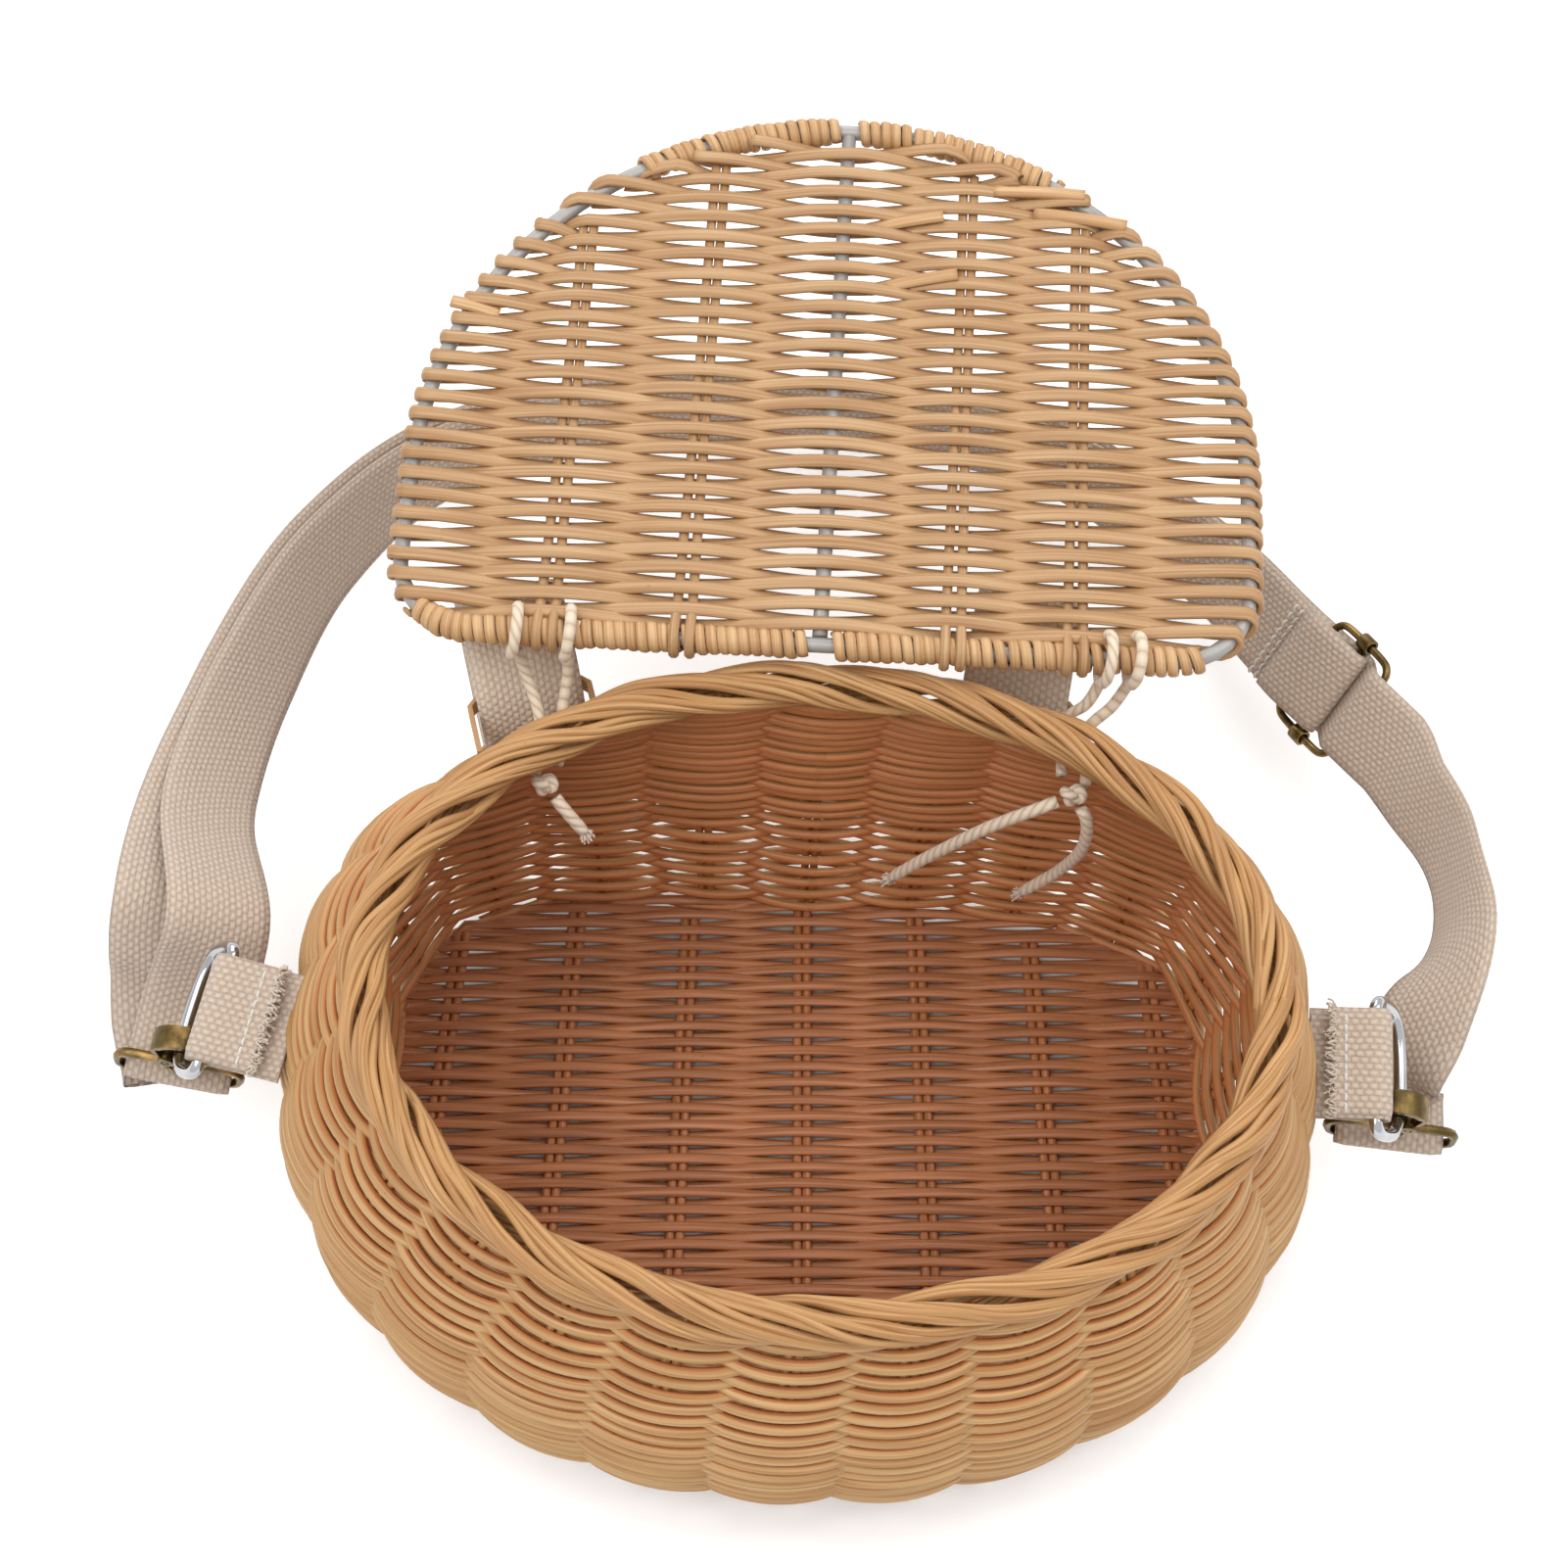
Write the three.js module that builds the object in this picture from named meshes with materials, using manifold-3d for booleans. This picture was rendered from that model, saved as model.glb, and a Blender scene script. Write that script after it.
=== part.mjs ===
// Lidded wicker bicycle basket with handlebar straps and a clip-on carrying strap.
// Millimetres, +Z up, +Y to the back (hinge side), origin under the middle of the base.
import * as THREE from 'three';
import Module from 'manifold-3d';

const wasm = await Module();
wasm.setup();

// Gap kept between pieces that touch
const GAP = 0.3;

// Basket wall: outline at the base, at the belly and at the top edge
const PLAN_CENTRE_Y = 7;
const BASE_CENTRE_X = -6;
const BASE_HALF_WIDTH = 104;
const BASE_FRONT = -67;
const BASE_BACK = 84;
const BASE_SQUARENESS = 4.5;
const BELLY_CENTRE_X = -4.7;
const BELLY_HALF_WIDTH = 117.5;
const BELLY_FRONT = -86.5;
const BELLY_BACK = 88;
const BELLY_SQUARENESS = 3.2;
const BELLY_HEIGHT = 58;
const FRONT_SQUARENESS = 2.05;
const WALL_THICKNESS = 5;
const STAKE_COUNT = 24;
const LOBE_DEPTH = 1.7;
const POINTS_PER_LOBE = 4;
const OUTER_WALL_STEPS = 7;
const INNER_WALL_STEPS = 4;

// Braided rim
const RIM_HALF_WIDTH = 98;
const RIM_FRONT = -68.5;
const RIM_BACK = 82.5;
const RIM_HEIGHT = 111;
const RIM_RADIUS = 5.5;
const RIM_STEPS = 72;

// Base panel and its paired stakes
const BASE_THICKNESS = 4;
const BASE_STAKE_PAIRS = 7;
const BASE_STAKE_BACK_X = -7;
const BASE_STAKE_BACK_MARGIN = 16.1;
const BASE_STAKE_FRONT_X = 1;
const BASE_STAKE_FRONT_MARGIN = 6.5;
const BASE_STAKE_THICKNESS = 2.6;
const BASE_STAKE_PAIR_WIDTH = 5.6;
const BASE_STAKE_RISE = 0.7;
const BASE_STAKE_END_GAP = 3;
const BASE_STAKE_TRIALS = 400;

// Lid, open and lying back
const LID_OPEN_ANGLE = 5;
const LID_CENTRE_X = -4;
const LID_HALF_WIDTH = 97;
const LID_DEPTH = 143.5;
const LID_ARC_START = 45;
const LID_CORNER_RADIUS = 18;
const LID_CLEARANCE = 0.7;
const HINGE_BEHIND_RIM = 4;
const LID_WIRE_RADIUS = 1.8;
const LID_STAKES = [-62, -31, 30, 57.5];
const LID_STAKE_THICKNESS = 2.2;
const LID_STAKE_PAIR_WIDTH = 4.8;
const LID_STAKE_LEAD = 4;
const LID_STAKE_TIP = 2.4;
const CANE_WIDTH = 2.6;
const CANE_THICKNESS = 2;
const LID_ROWS = 26;
const LID_FIRST_ROW = 10;
const LID_LAST_ROW_MARGIN = 13.5;
const ROW_HOLD = 5;
const CROSSING_HOLD = 3.6;
const CROSSING_RUN = 8;

// Cane lashings on the lid frame
const LASHING_WIDTH = 2.2;
const LASHING_THICKNESS = 1.4;
const LASHING_STEPS = 6;
const LASHING_LEAST_GAP = 0.4;
const HINGE_LASHING_TURNS = 16;
const HINGE_LASHING_START = 6;
const HINGE_LASHING_END = 76;
const FRONT_LASHING_TURNS = 7;
const FRONT_LASHING_START = 6;
const FRONT_LASHING_END = 32;

// Hinge cords
const CORD_RADIUS = 1.6;
const CORD_LOOPS = { left: [-73, -61], right: [60.5, 67] };
const CORD_HOLES = { left: [-67.5, -62.5], right: [52.5, 58] };
const CORD_HOLE_BELOW_RIM = 10.5;
const CORD_HOLE_CLEARANCE = 0.35;
const LOOP_STEPS = 12;
const STRAND_BELOW_LOOP = 1.25;
const STRAND_INSIDE = 2.4;
const STRAND_DROP = 0.5;
const KNOT_RADIUS = 3.4;
const TAIL_RADIUS = 1.5;

// Webbing
const WEBBING_WIDTH = 25;
const WEBBING_THICKNESS = 1.5;
const PLY_GAP = 0.4;

// Handlebar straps on the back wall
const BAR_STRAP_X = { left: -70, right: 41 };
const BAR_STRAP_MIDDLE_Z = 80;
const BAR_STRAP_HALF_DEPTH = 16.5;
const BAR_STRAP_HALF_HEIGHT = 22;
const BAR_STRAP_START = -10;
const BAR_STRAP_OVERLAP = 100;
const HOOK_LOOP_THICKNESS = 1.4;
const HOOK_LOOP_WIDTH = 20;
const BINDER_WIDTH = 5;
const BINDER_THICKNESS = 1.2;
const BINDER_OFFSET = 11;

// Tabs and rings on the ends
const TAB_HEIGHT = 76;
const TAB_Y = { left: 6, right: 11 };
const TAB_LENGTH = { left: 17.5, right: 13.5 };
const TAB_TILT = 15;
const TAB_TURN = { left: -12, right: 0 };
const RING_WIRE_RADIUS = 1.7;
const RING_HALF_WIDTH = 15.2;
const RING_CORNER = 3.5;
const RING_SHOULDER = 6;
const RING_DEPTH = 15.5;
const RING_HANG = { left: 52, right: 58 };

// Swivel clasps
const HOOK_CLEARANCE = 0.6;
const CLASP_OUT = { left: 14, right: 4 };
const CLASP_ON_RING = { left: -8, right: -7 };
const HOOK_INNER_RADIUS = 5.4;
const HOOK_OUTER_RADIUS = 7;
const HOOK_WIDTH = 5.6;
const GATE_PIVOT_ANGLE = 60;
const GATE_SPAN = 80;
const GATE_WIDTH = 3.6;
const GATE_INNER_RADIUS = 5.85;
const HOOK_START = 8;
const GATE_START = 3;
const GATE_PIN_RADIUS = 0.7;
const GATE_KNUCKLE_RADIUS = 1.5;
const CHEEK_RADIUS = 2.1;
const SWIVEL_BOSS_RADIUS = 2.6;
const SWIVEL_BOSS_END = 9;
const SWIVEL_SHANK_RADIUS = 1.5;
const SWIVEL_HEAD_RADIUS = 2.6;
const SWIVEL_HEAD_THICKNESS = 1.3;
const COLLAR_RADIUS = 3.4;
const COLLAR_THICKNESS = 2.6;
const BAIL_WIRE_RADIUS = 1.2;
const BAIL_HALF_WIDTH = 14.4;
const BAIL_DROP = 9;
const BAIL_CORNER = 3;

// Strap slider
const SLIDER_HALF_LENGTH = 10.8;
const SLIDER_HALF_WIDTH = 15.3;
const SLIDER_CORNER = 4;
const SLIDER_WIRE_RADIUS = 1.2;
const SLEEVE_RADIUS = 2.3;
const SLEEVE_LENGTH = 4;
const SLIDER_ALONG = 0.772;
const SLIDER_CLEAR = 26;
const SLIDER_STRAIGHT = 20;
const SLIDER_EASED = 44;

// Carrying strap: lower ply hangs away from the upper one near the left clasp
const STRAP_SAG = 5;
const STRAP_SPLAY = 11.5;
const STRAP_SPLAY_LEFT = 0.2;
const STRAP_SAG_REACH = 90;
const STRAP_STEPS = 40;
const STRAP_END_STEPS = 20;
const STRAP_END_TAIL = 34;

const WICKER = { color: 0xd9ac6b, roughness: 0.55, metalness: 0 };
const CANE = { color: 0xe0b87c, roughness: 0.5, metalness: 0 };
const COTTON = { color: 0xe3d6c3, roughness: 0.95, metalness: 0 };
const FLEECE = { color: 0xcfc5cc, roughness: 1, metalness: 0 };
const STEEL = { color: 0xa9abb3, roughness: 0.45, metalness: 0.6 };
const CHROME = { color: 0xdadada, roughness: 0.15, metalness: 1 };
const BRASS = { color: 0x6e5a36, roughness: 0.4, metalness: 0.9 };

const group = new THREE.Group();
const Z = new THREE.Vector3(0, 0, 1);

const vec = (x, y, z) => new THREE.Vector3(x, y, z);
const rad = (degrees) => (degrees * Math.PI) / 180;
const mix = (a, b, t) => a + (b - a) * t;
const span = (count) => Array.from({ length: count }, (_, i) => i);
const smooth = (from, to, x) => THREE.MathUtils.smoothstep(x, from, to);

// Point from an origin and three axes
function local(origin, axes, a, b, c) {
  const point = origin.clone().addScaledVector(axes[0], a);
  return point.addScaledVector(axes[1], b).addScaledVector(axes[2], c);
}

function signedVolume(points, triangles) {
  let total = 0;
  for (let i = 0; i < triangles.length; i += 3) {
    const [a, b, c] = [0, 1, 2].map((k) => points[triangles[i + k]]);
    total += a.dot(b.clone().cross(c));
  }
  return total / 6;
}

function geometryFrom(points, triangles) {
  const order = signedVolume(points, triangles) < 0 ? [0, 2, 1] : [0, 1, 2];
  const index = [];
  for (let i = 0; i < triangles.length; i += 3) {
    index.push(...order.map((k) => triangles[i + k]));
  }
  const geometry = new THREE.BufferGeometry();
  const flat = points.flatMap((p) => [p.x, p.y, p.z]);
  geometry.setAttribute('position', new THREE.Float32BufferAttribute(flat, 3));
  geometry.setIndex(index);
  return geometry;
}

// Closed skin over rings of points; the last ring joins the first or both ends get caps
function loft(rings, closed = false) {
  const size = rings[0].length;
  const points = rings.flat();
  const triangles = [];
  const last = closed ? rings.length : rings.length - 1;
  for (let r = 0; r < last; r += 1) {
    const next = (r + 1) % rings.length;
    for (let k = 0; k < size; k += 1) {
      const k2 = (k + 1) % size;
      const [a, b] = [r * size + k, r * size + k2];
      const [c, d] = [next * size + k, next * size + k2];
      triangles.push(a, b, d, a, d, c);
    }
  }
  if (!closed) {
    [0, rings.length - 1].forEach((r) => {
      const middle = rings[r].reduce((sum, p) => sum.add(p), vec(0, 0, 0)).divideScalar(size);
      const tip = points.push(middle) - 1;
      for (let k = 0; k < size; k += 1) {
        const [a, b] = [r * size + k, r * size + ((k + 1) % size)];
        triangles.push(...(r === 0 ? [tip, b, a] : [tip, a, b]));
      }
    });
  }
  return geometryFrom(points, triangles);
}

const circle = (radius, sides) => span(sides).map((k) => {
  const angle = (2 * Math.PI * (k + 0.5)) / sides;
  return [radius * Math.cos(angle), radius * Math.sin(angle)];
});

const rectangle = (width, height) => [
  [-width / 2, -height / 2],
  [width / 2, -height / 2],
  [width / 2, height / 2],
  [-width / 2, height / 2],
];

// Stadium outline of a pair of canes side by side
function pairSection(width, thickness, clearance = 0) {
  const radius = thickness / 2 + clearance;
  const centre = width / 2 - thickness / 2;
  return span(8).map((k) => {
    const angle = (Math.PI * (k % 4)) / 3 - Math.PI / 2;
    const side = k < 4 ? 1 : -1;
    return [side * (centre + radius * Math.cos(angle)), side * radius * Math.sin(angle)];
  });
}

function tangents(points, closed) {
  const count = points.length;
  return points.map((_, i) => {
    const before = closed ? points[(i + count - 1) % count] : points[Math.max(0, i - 1)];
    const after = closed ? points[(i + 1) % count] : points[Math.min(count - 1, i + 1)];
    return after.clone().sub(before).normalize();
  });
}

// Section swept along points, its first axis held close to the given side direction
function sweep(points, section, sideAt, closed = false) {
  const along = tangents(points, closed);
  const rings = points.map((point, i) => {
    const side = sideAt(i).clone().addScaledVector(along[i], -sideAt(i).dot(along[i])).normalize();
    const normal = along[i].clone().cross(side);
    return section.map(([a, b]) => point.clone().addScaledVector(side, a).addScaledVector(normal, b));
  });
  return loft(rings, closed);
}

// Round wire or cord along points, with frames that turn as little as possible
function tube(points, radius, sides) {
  const along = tangents(points, false);
  const start = Math.abs(along[0].z) < 0.9 ? Z.clone() : vec(1, 0, 0);
  const sides3 = [start];
  for (let i = 1; i < points.length; i += 1) {
    const turn = new THREE.Quaternion().setFromUnitVectors(along[i - 1], along[i]);
    sides3.push(sides3[i - 1].clone().applyQuaternion(turn));
  }
  return sweep(points, circle(radius, sides), (i) => sides3[i]);
}

const rod = (from, to, radius, sides = 12) => tube([from, to], radius, sides);

function smoothPoints(controls, count) {
  return new THREE.CatmullRomCurve3(controls).getSpacedPoints(count);
}

function solid(geometry) {
  const points = geometry.getAttribute('position');
  return new wasm.Manifold(new wasm.Mesh({
    numProp: 3,
    vertProperties: new Float32Array(points.array),
    triVerts: new Uint32Array(geometry.index.array),
  }));
}

function fromSolid(manifold) {
  const mesh = manifold.getMesh();
  const geometry = new THREE.BufferGeometry();
  const position = new THREE.BufferAttribute(new Float32Array(mesh.vertProperties), 3);
  geometry.setAttribute('position', position);
  geometry.setIndex(new THREE.BufferAttribute(new Uint32Array(mesh.triVerts), 1));
  return geometry;
}

const join = (...shapes) => shapes.map(solid).reduce((all, next) => all.add(next));
const cut = (shape, ...tools) => tools.reduce((left, tool) => left.subtract(solid(tool)), shape);

function piece(name, geometry, finish) {
  const mesh = new THREE.Mesh(geometry, new THREE.MeshStandardMaterial(finish));
  mesh.name = name;
  group.add(mesh);
}

// Basket wall

const WALL_TOP = RIM_HEIGHT - RIM_RADIUS - GAP;
const WALL_RING = STAKE_COUNT * POINTS_PER_LOBE;

function wallLevel(z) {
  const upper = z > BELLY_HEIGHT;
  const t = upper ? (z - BELLY_HEIGHT) / (WALL_TOP - BELLY_HEIGHT) : z / BELLY_HEIGHT;
  const swell = upper ? Math.cos((Math.PI / 2) * t) : Math.sin((Math.PI / 2) * t);
  const half = WALL_THICKNESS / 2;
  return {
    centreX: mix(upper ? 0 : BASE_CENTRE_X, BELLY_CENTRE_X, swell),
    halfWidth: mix(upper ? RIM_HALF_WIDTH + half : BASE_HALF_WIDTH, BELLY_HALF_WIDTH, swell),
    front: mix(upper ? RIM_FRONT - half : BASE_FRONT, BELLY_FRONT, swell),
    back: mix(upper ? RIM_BACK + half : BASE_BACK, BELLY_BACK, swell),
    squareness: upper ? mix(2, BELLY_SQUARENESS, swell) : mix(BASE_SQUARENESS, BELLY_SQUARENESS, swell),
    lobe: LOBE_DEPTH * Math.sin((Math.PI * z) / WALL_TOP),
  };
}

// Distance from the plan centre to the outline in one direction
function planRadius(level, angle, offset) {
  const back = Math.sin(angle) > 0;
  const power = back ? level.squareness : FRONT_SQUARENESS;
  const deep = (back ? level.back - PLAN_CENTRE_Y : PLAN_CENTRE_Y - level.front) + offset;
  const wide = level.halfWidth + offset;
  const sum = Math.abs(Math.cos(angle) / wide) ** power + Math.abs(Math.sin(angle) / deep) ** power;
  return sum ** (-1 / power);
}

// Directions that space the lobes evenly along the belly, from the middle of the back
function lobeAngles() {
  const level = wallLevel(BELLY_HEIGHT);
  const fine = 2400;
  const reach = [0];
  let last = null;
  for (let i = 0; i <= fine; i += 1) {
    const angle = (2 * Math.PI * i) / fine;
    const radius = planRadius(level, angle, 0);
    const point = new THREE.Vector2(radius * Math.cos(angle), radius * Math.sin(angle));
    if (last) reach.push(reach[i - 1] + point.distanceTo(last));
    last = point;
  }
  const middle = reach[fine / 4];
  return span(WALL_RING).map((k) => {
    const target = (middle + (reach[fine] * k) / WALL_RING) % reach[fine];
    return (2 * Math.PI * reach.findIndex((r) => r >= target)) / fine;
  });
}

const WALL_ANGLES = lobeAngles();

function wallRing(z, offset) {
  const level = wallLevel(Math.min(Math.max(z, 0), WALL_TOP));
  return WALL_ANGLES.map((angle, k) => {
    const ripple = level.lobe * Math.cos((2 * Math.PI * k) / POINTS_PER_LOBE);
    const radius = planRadius(level, angle, offset) + ripple;
    return vec(level.centreX + radius * Math.cos(angle), PLAN_CENTRE_Y + radius * Math.sin(angle), z);
  });
}

// Outer face of the back wall, found along Y
function wallBackY(x, z) {
  const level = wallLevel(z);
  const deep = level.back - PLAN_CENTRE_Y;
  const power = level.squareness;
  const across = Math.abs((x - level.centreX) / level.halfWidth);
  return PLAN_CENTRE_Y + deep * (1 - across ** power) ** (1 / power);
}

const wallLevels = (steps) => span(steps + 1).map((i) => (WALL_TOP * i) / steps);
const OUTER_LEVELS = wallLevels(OUTER_WALL_STEPS);
const INNER_LEVELS = wallLevels(INNER_WALL_STEPS);

// Solid block filling the wall's outer shape, used to seat what touches the wall
function wallBlock(clearance) {
  const low = wallRing(0, clearance).map((p) => vec(p.x, p.y, -1));
  const high = wallRing(WALL_TOP, clearance).map((p) => vec(p.x, p.y, WALL_TOP + clearance));
  const between = OUTER_LEVELS.slice(1, -1).map((z) => wallRing(z, clearance));
  return loft([low, ...between, high]);
}

const hingeY = RIM_BACK + HINGE_BEHIND_RIM;
// A cane bent round the frame wire in eighths of a turn clears it at the middle of each step
const wrapRadius = (LID_WIRE_RADIUS + GAP + CANE_THICKNESS / 2) / Math.cos(Math.PI / 8);
const lidHalfThickness = wrapRadius + CANE_THICKNESS / 2;
const hingeZ = RIM_HEIGHT + RIM_RADIUS + lidHalfThickness + LID_CLEARANCE;

// Cord loop round the lashed frame wire, bent in twelfths of a turn
const lashedRadius = (LID_WIRE_RADIUS + GAP + LASHING_THICKNESS / 2) / Math.cos(Math.PI / LASHING_STEPS);
const lashedHalf = lashedRadius + LASHING_THICKNESS / 2;
const loopRadius = (lashedHalf + GAP + CORD_RADIUS) / Math.cos(Math.PI / LOOP_STEPS);
const loopReach = loopRadius + CORD_RADIUS;

// Each strand drops from its loop on the lid, goes through the wall and ends at the knot
function strandPath(loopX, holeX) {
  const z = RIM_HEIGHT - CORD_HOLE_BELOW_RIM;
  const wallY = wallBackY(holeX, z);
  return smoothPoints([
    vec(loopX, hingeY - 1, hingeZ - loopReach - STRAND_BELOW_LOOP),
    vec(mix(loopX, holeX, 0.4), hingeY - 4, hingeZ - loopReach - 6.5),
    vec(holeX, wallY + 4.5, z + 3),
    vec(holeX, wallY - WALL_THICKNESS / 2, z),
    vec(holeX, wallY - WALL_THICKNESS - STRAND_INSIDE, z - STRAND_DROP),
  ], 12);
}

const SIDES = ['left', 'right'];
const strands = SIDES.flatMap((side) => CORD_LOOPS[side].map((loopX, i) => ({
  name: `${side}_hinge_strand_${i + 1}`,
  path: strandPath(loopX, CORD_HOLES[side][i]),
})));

function addBody() {
  const rings = OUTER_LEVELS.map((z) => wallRing(z, 0));
  const inner = INNER_LEVELS.map((z) => wallRing(z, -WALL_THICKNESS)).reverse();
  const shell = solid(loft([...rings, ...inner], true));
  const holes = strands.map(({ path }) => tube(path, CORD_RADIUS + CORD_HOLE_CLEARANCE, 8));
  piece('basket_wall', fromSolid(cut(shell, ...holes)), WICKER);

  const rim = span(RIM_STEPS).map((k) => {
    const angle = (2 * Math.PI * k) / RIM_STEPS;
    const back = Math.sin(angle) > 0;
    const deep = back ? RIM_BACK - PLAN_CENTRE_Y : PLAN_CENTRE_Y - RIM_FRONT;
    return vec(RIM_HALF_WIDTH * Math.cos(angle), PLAN_CENTRE_Y + deep * Math.sin(angle), RIM_HEIGHT);
  });
  piece('rim_braid', sweep(rim, circle(RIM_RADIUS, 8), () => Z, true), WICKER);
}

function addBase() {
  const edge = wallRing(0, -WALL_THICKNESS - GAP);
  const level = (z) => edge.map((p) => vec(p.x, p.y, z));
  const panel = solid(loft([level(0), level(BASE_THICKNESS)]));
  const height = BASE_THICKNESS + BASE_STAKE_RISE - BASE_STAKE_THICKNESS / 2;
  const inset = -WALL_THICKNESS - BASE_STAKE_END_GAP;
  const inside = (point) => {
    const [dx, dy] = [point.x - BASE_CENTRE_X, point.y - PLAN_CENTRE_Y];
    return Math.hypot(dx, dy) < planRadius(wallLevel(0), Math.atan2(dy, dx), inset);
  };
  const pitch = (margin) => (2 * (BASE_HALF_WIDTH - margin)) / (BASE_STAKE_PAIRS - 1);
  const grooves = [];
  span(BASE_STAKE_PAIRS).forEach((i) => {
    const place = i - (BASE_STAKE_PAIRS - 1) / 2;
    const front = vec(BASE_STAKE_FRONT_X + place * pitch(BASE_STAKE_FRONT_MARGIN), BASE_FRONT, height);
    const back = vec(BASE_STAKE_BACK_X + place * pitch(BASE_STAKE_BACK_MARGIN), BASE_BACK, height);
    const within = span(BASE_STAKE_TRIALS + 1)
      .map((k) => front.clone().lerp(back, k / BASE_STAKE_TRIALS))
      .filter(inside);
    const ends = [within[0], within[within.length - 1]];
    const section = pairSection(BASE_STAKE_PAIR_WIDTH, BASE_STAKE_THICKNESS);
    piece(`base_stake_pair_${i + 1}`, sweep(ends, section, () => vec(1, 0, 0)), CANE);
    const wider = pairSection(BASE_STAKE_PAIR_WIDTH, BASE_STAKE_THICKNESS, GAP);
    const past = [front.lerp(back, -0.1), back.clone().lerp(front, -0.1)];
    grooves.push(sweep(past, wider, () => vec(1, 0, 0)));
  });
  piece('base_panel', fromSolid(cut(panel, ...grooves)), WICKER);
}

// Lid, laid out across, away from the hinge, and up from its plane

const LID_AXES = [
  vec(1, 0, 0),
  vec(0, Math.cos(rad(LID_OPEN_ANGLE)), Math.sin(rad(LID_OPEN_ANGLE))),
  vec(0, -Math.sin(rad(LID_OPEN_ANGLE)), Math.cos(rad(LID_OPEN_ANGLE))),
];
const LID_ORIGIN = vec(LID_CENTRE_X, hingeY, hingeZ);
const lidPoint = (x, d, n) => local(LID_ORIGIN, LID_AXES, x, d, n);

function lidHalfWidthAt(d) {
  if (d < LID_CORNER_RADIUS) {
    const rise = LID_CORNER_RADIUS - d;
    return LID_HALF_WIDTH - LID_CORNER_RADIUS + Math.sqrt(LID_CORNER_RADIUS ** 2 - rise ** 2);
  }
  if (d < LID_ARC_START) return LID_HALF_WIDTH;
  const t = (d - LID_ARC_START) / (LID_DEPTH - LID_ARC_START);
  return LID_HALF_WIDTH * Math.sqrt(Math.max(0, 1 - t * t));
}

const lidArc = (angle) => [
  LID_HALF_WIDTH * Math.cos(angle),
  LID_ARC_START + (LID_DEPTH - LID_ARC_START) * Math.sin(angle),
];

function lidOutline() {
  const points = [];
  const corner = (centreX, from) => span(5).forEach((i) => {
    const angle = from + (Math.PI / 2) * (i / 4);
    const x = centreX + LID_CORNER_RADIUS * Math.cos(angle);
    points.push([x, LID_CORNER_RADIUS + LID_CORNER_RADIUS * Math.sin(angle)]);
  });
  const straight = LID_HALF_WIDTH - LID_CORNER_RADIUS;
  span(5).forEach((i) => points.push([mix(-straight, straight, (i + 0.5) / 5), 0]));
  corner(straight, -Math.PI / 2);
  span(31).forEach((i) => points.push(lidArc((Math.PI * i) / 30)));
  corner(-straight, Math.PI);
  return points.map(([x, d]) => lidPoint(x, d, 0));
}

const rowPitch = (LID_DEPTH - LID_LAST_ROW_MARGIN - LID_FIRST_ROW) / (LID_ROWS - 1);
const overWire = LID_WIRE_RADIUS + GAP + CANE_THICKNESS / 2;
const overStake = LID_STAKE_THICKNESS / 2 + GAP + CANE_THICKNESS / 2;
const rowCrosses = (x, d) => lidHalfWidthAt(d) > Math.abs(x) + CROSSING_HOLD + CROSSING_RUN + ROW_HOLD;

// One row from one side of the lid to the other, over and under by turns
function lidRow(row) {
  const d = LID_FIRST_ROW + row * rowPitch;
  const edge = lidHalfWidthAt(d);
  const up = row % 2 === 0 ? 1 : -1;
  const crossings = [LID_STAKES[0], LID_STAKES[1], 0, LID_STAKES[2], LID_STAKES[3]];
  const points = [lidPoint(-edge, d, up * wrapRadius), lidPoint(-edge + ROW_HOLD, d, up * overWire)];
  crossings.forEach((x, i) => {
    if (!rowCrosses(x, d)) return;
    const n = up * (x === 0 ? overWire : overStake) * (i % 2 === 0 ? -1 : 1);
    points.push(lidPoint(x - CROSSING_HOLD, d, n), lidPoint(x + CROSSING_HOLD, d, n));
  });
  points.push(lidPoint(edge - ROW_HOLD, d, up * overWire), lidPoint(edge, d, up * wrapRadius));
  return row % 2 === 0 ? points : points.reverse();
}

// Turn round the frame wire from one row to the next
function lidWrap(row) {
  const side = row % 2 === 0 ? 1 : -1;
  const up = row % 2 === 0 ? 1 : -1;
  return [1, 0, -1].map((quarter) => {
    const d = LID_FIRST_ROW + (row + 0.5 - quarter * 0.25) * rowPitch;
    const slope = lidHalfWidthAt(d + 0.5) - lidHalfWidthAt(d - 0.5);
    const reach = wrapRadius * Math.cos((quarter * Math.PI) / 4);
    const length = Math.hypot(1, slope);
    const x = lidHalfWidthAt(d) + reach / length;
    const lift = up * wrapRadius * Math.sin((quarter * Math.PI) / 4);
    return lidPoint(side * x, d - (reach * slope) / length, lift);
  });
}

function leastTurnGap(points, steps, width) {
  let least = Infinity;
  for (let i = 0; i + steps < points.length; i += 1) {
    least = Math.min(least, points[i].distanceTo(points[i + steps]) - width);
  }
  return least;
}

// Flat cane wound round the frame wire along a stretch of it
function lashing(name, turns, centreAt) {
  const count = turns * LASHING_STEPS;
  const outward = [];
  const points = span(count + 1).map((i) => {
    const t = i / count;
    const [x, d] = centreAt(t);
    const [x2, d2] = centreAt(t + 0.001);
    const along = lidPoint(x2, d2, 0).sub(lidPoint(x, d, 0)).normalize();
    const across = LID_AXES[2].clone().cross(along);
    const angle = (2 * Math.PI * i) / LASHING_STEPS;
    const radial = across.multiplyScalar(Math.cos(angle)).addScaledVector(LID_AXES[2], Math.sin(angle));
    outward.push(radial);
    return lidPoint(x, d, 0).addScaledVector(radial, lashedRadius);
  });
  const gap = leastTurnGap(points, LASHING_STEPS, LASHING_WIDTH);
  console.log(`${name}: least gap between turns ${gap.toFixed(2)} mm, wanted ${LASHING_LEAST_GAP}`);
  piece(name, sweep(points, rectangle(LASHING_THICKNESS, LASHING_WIDTH), (i) => outward[i]), CANE);
}

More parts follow.
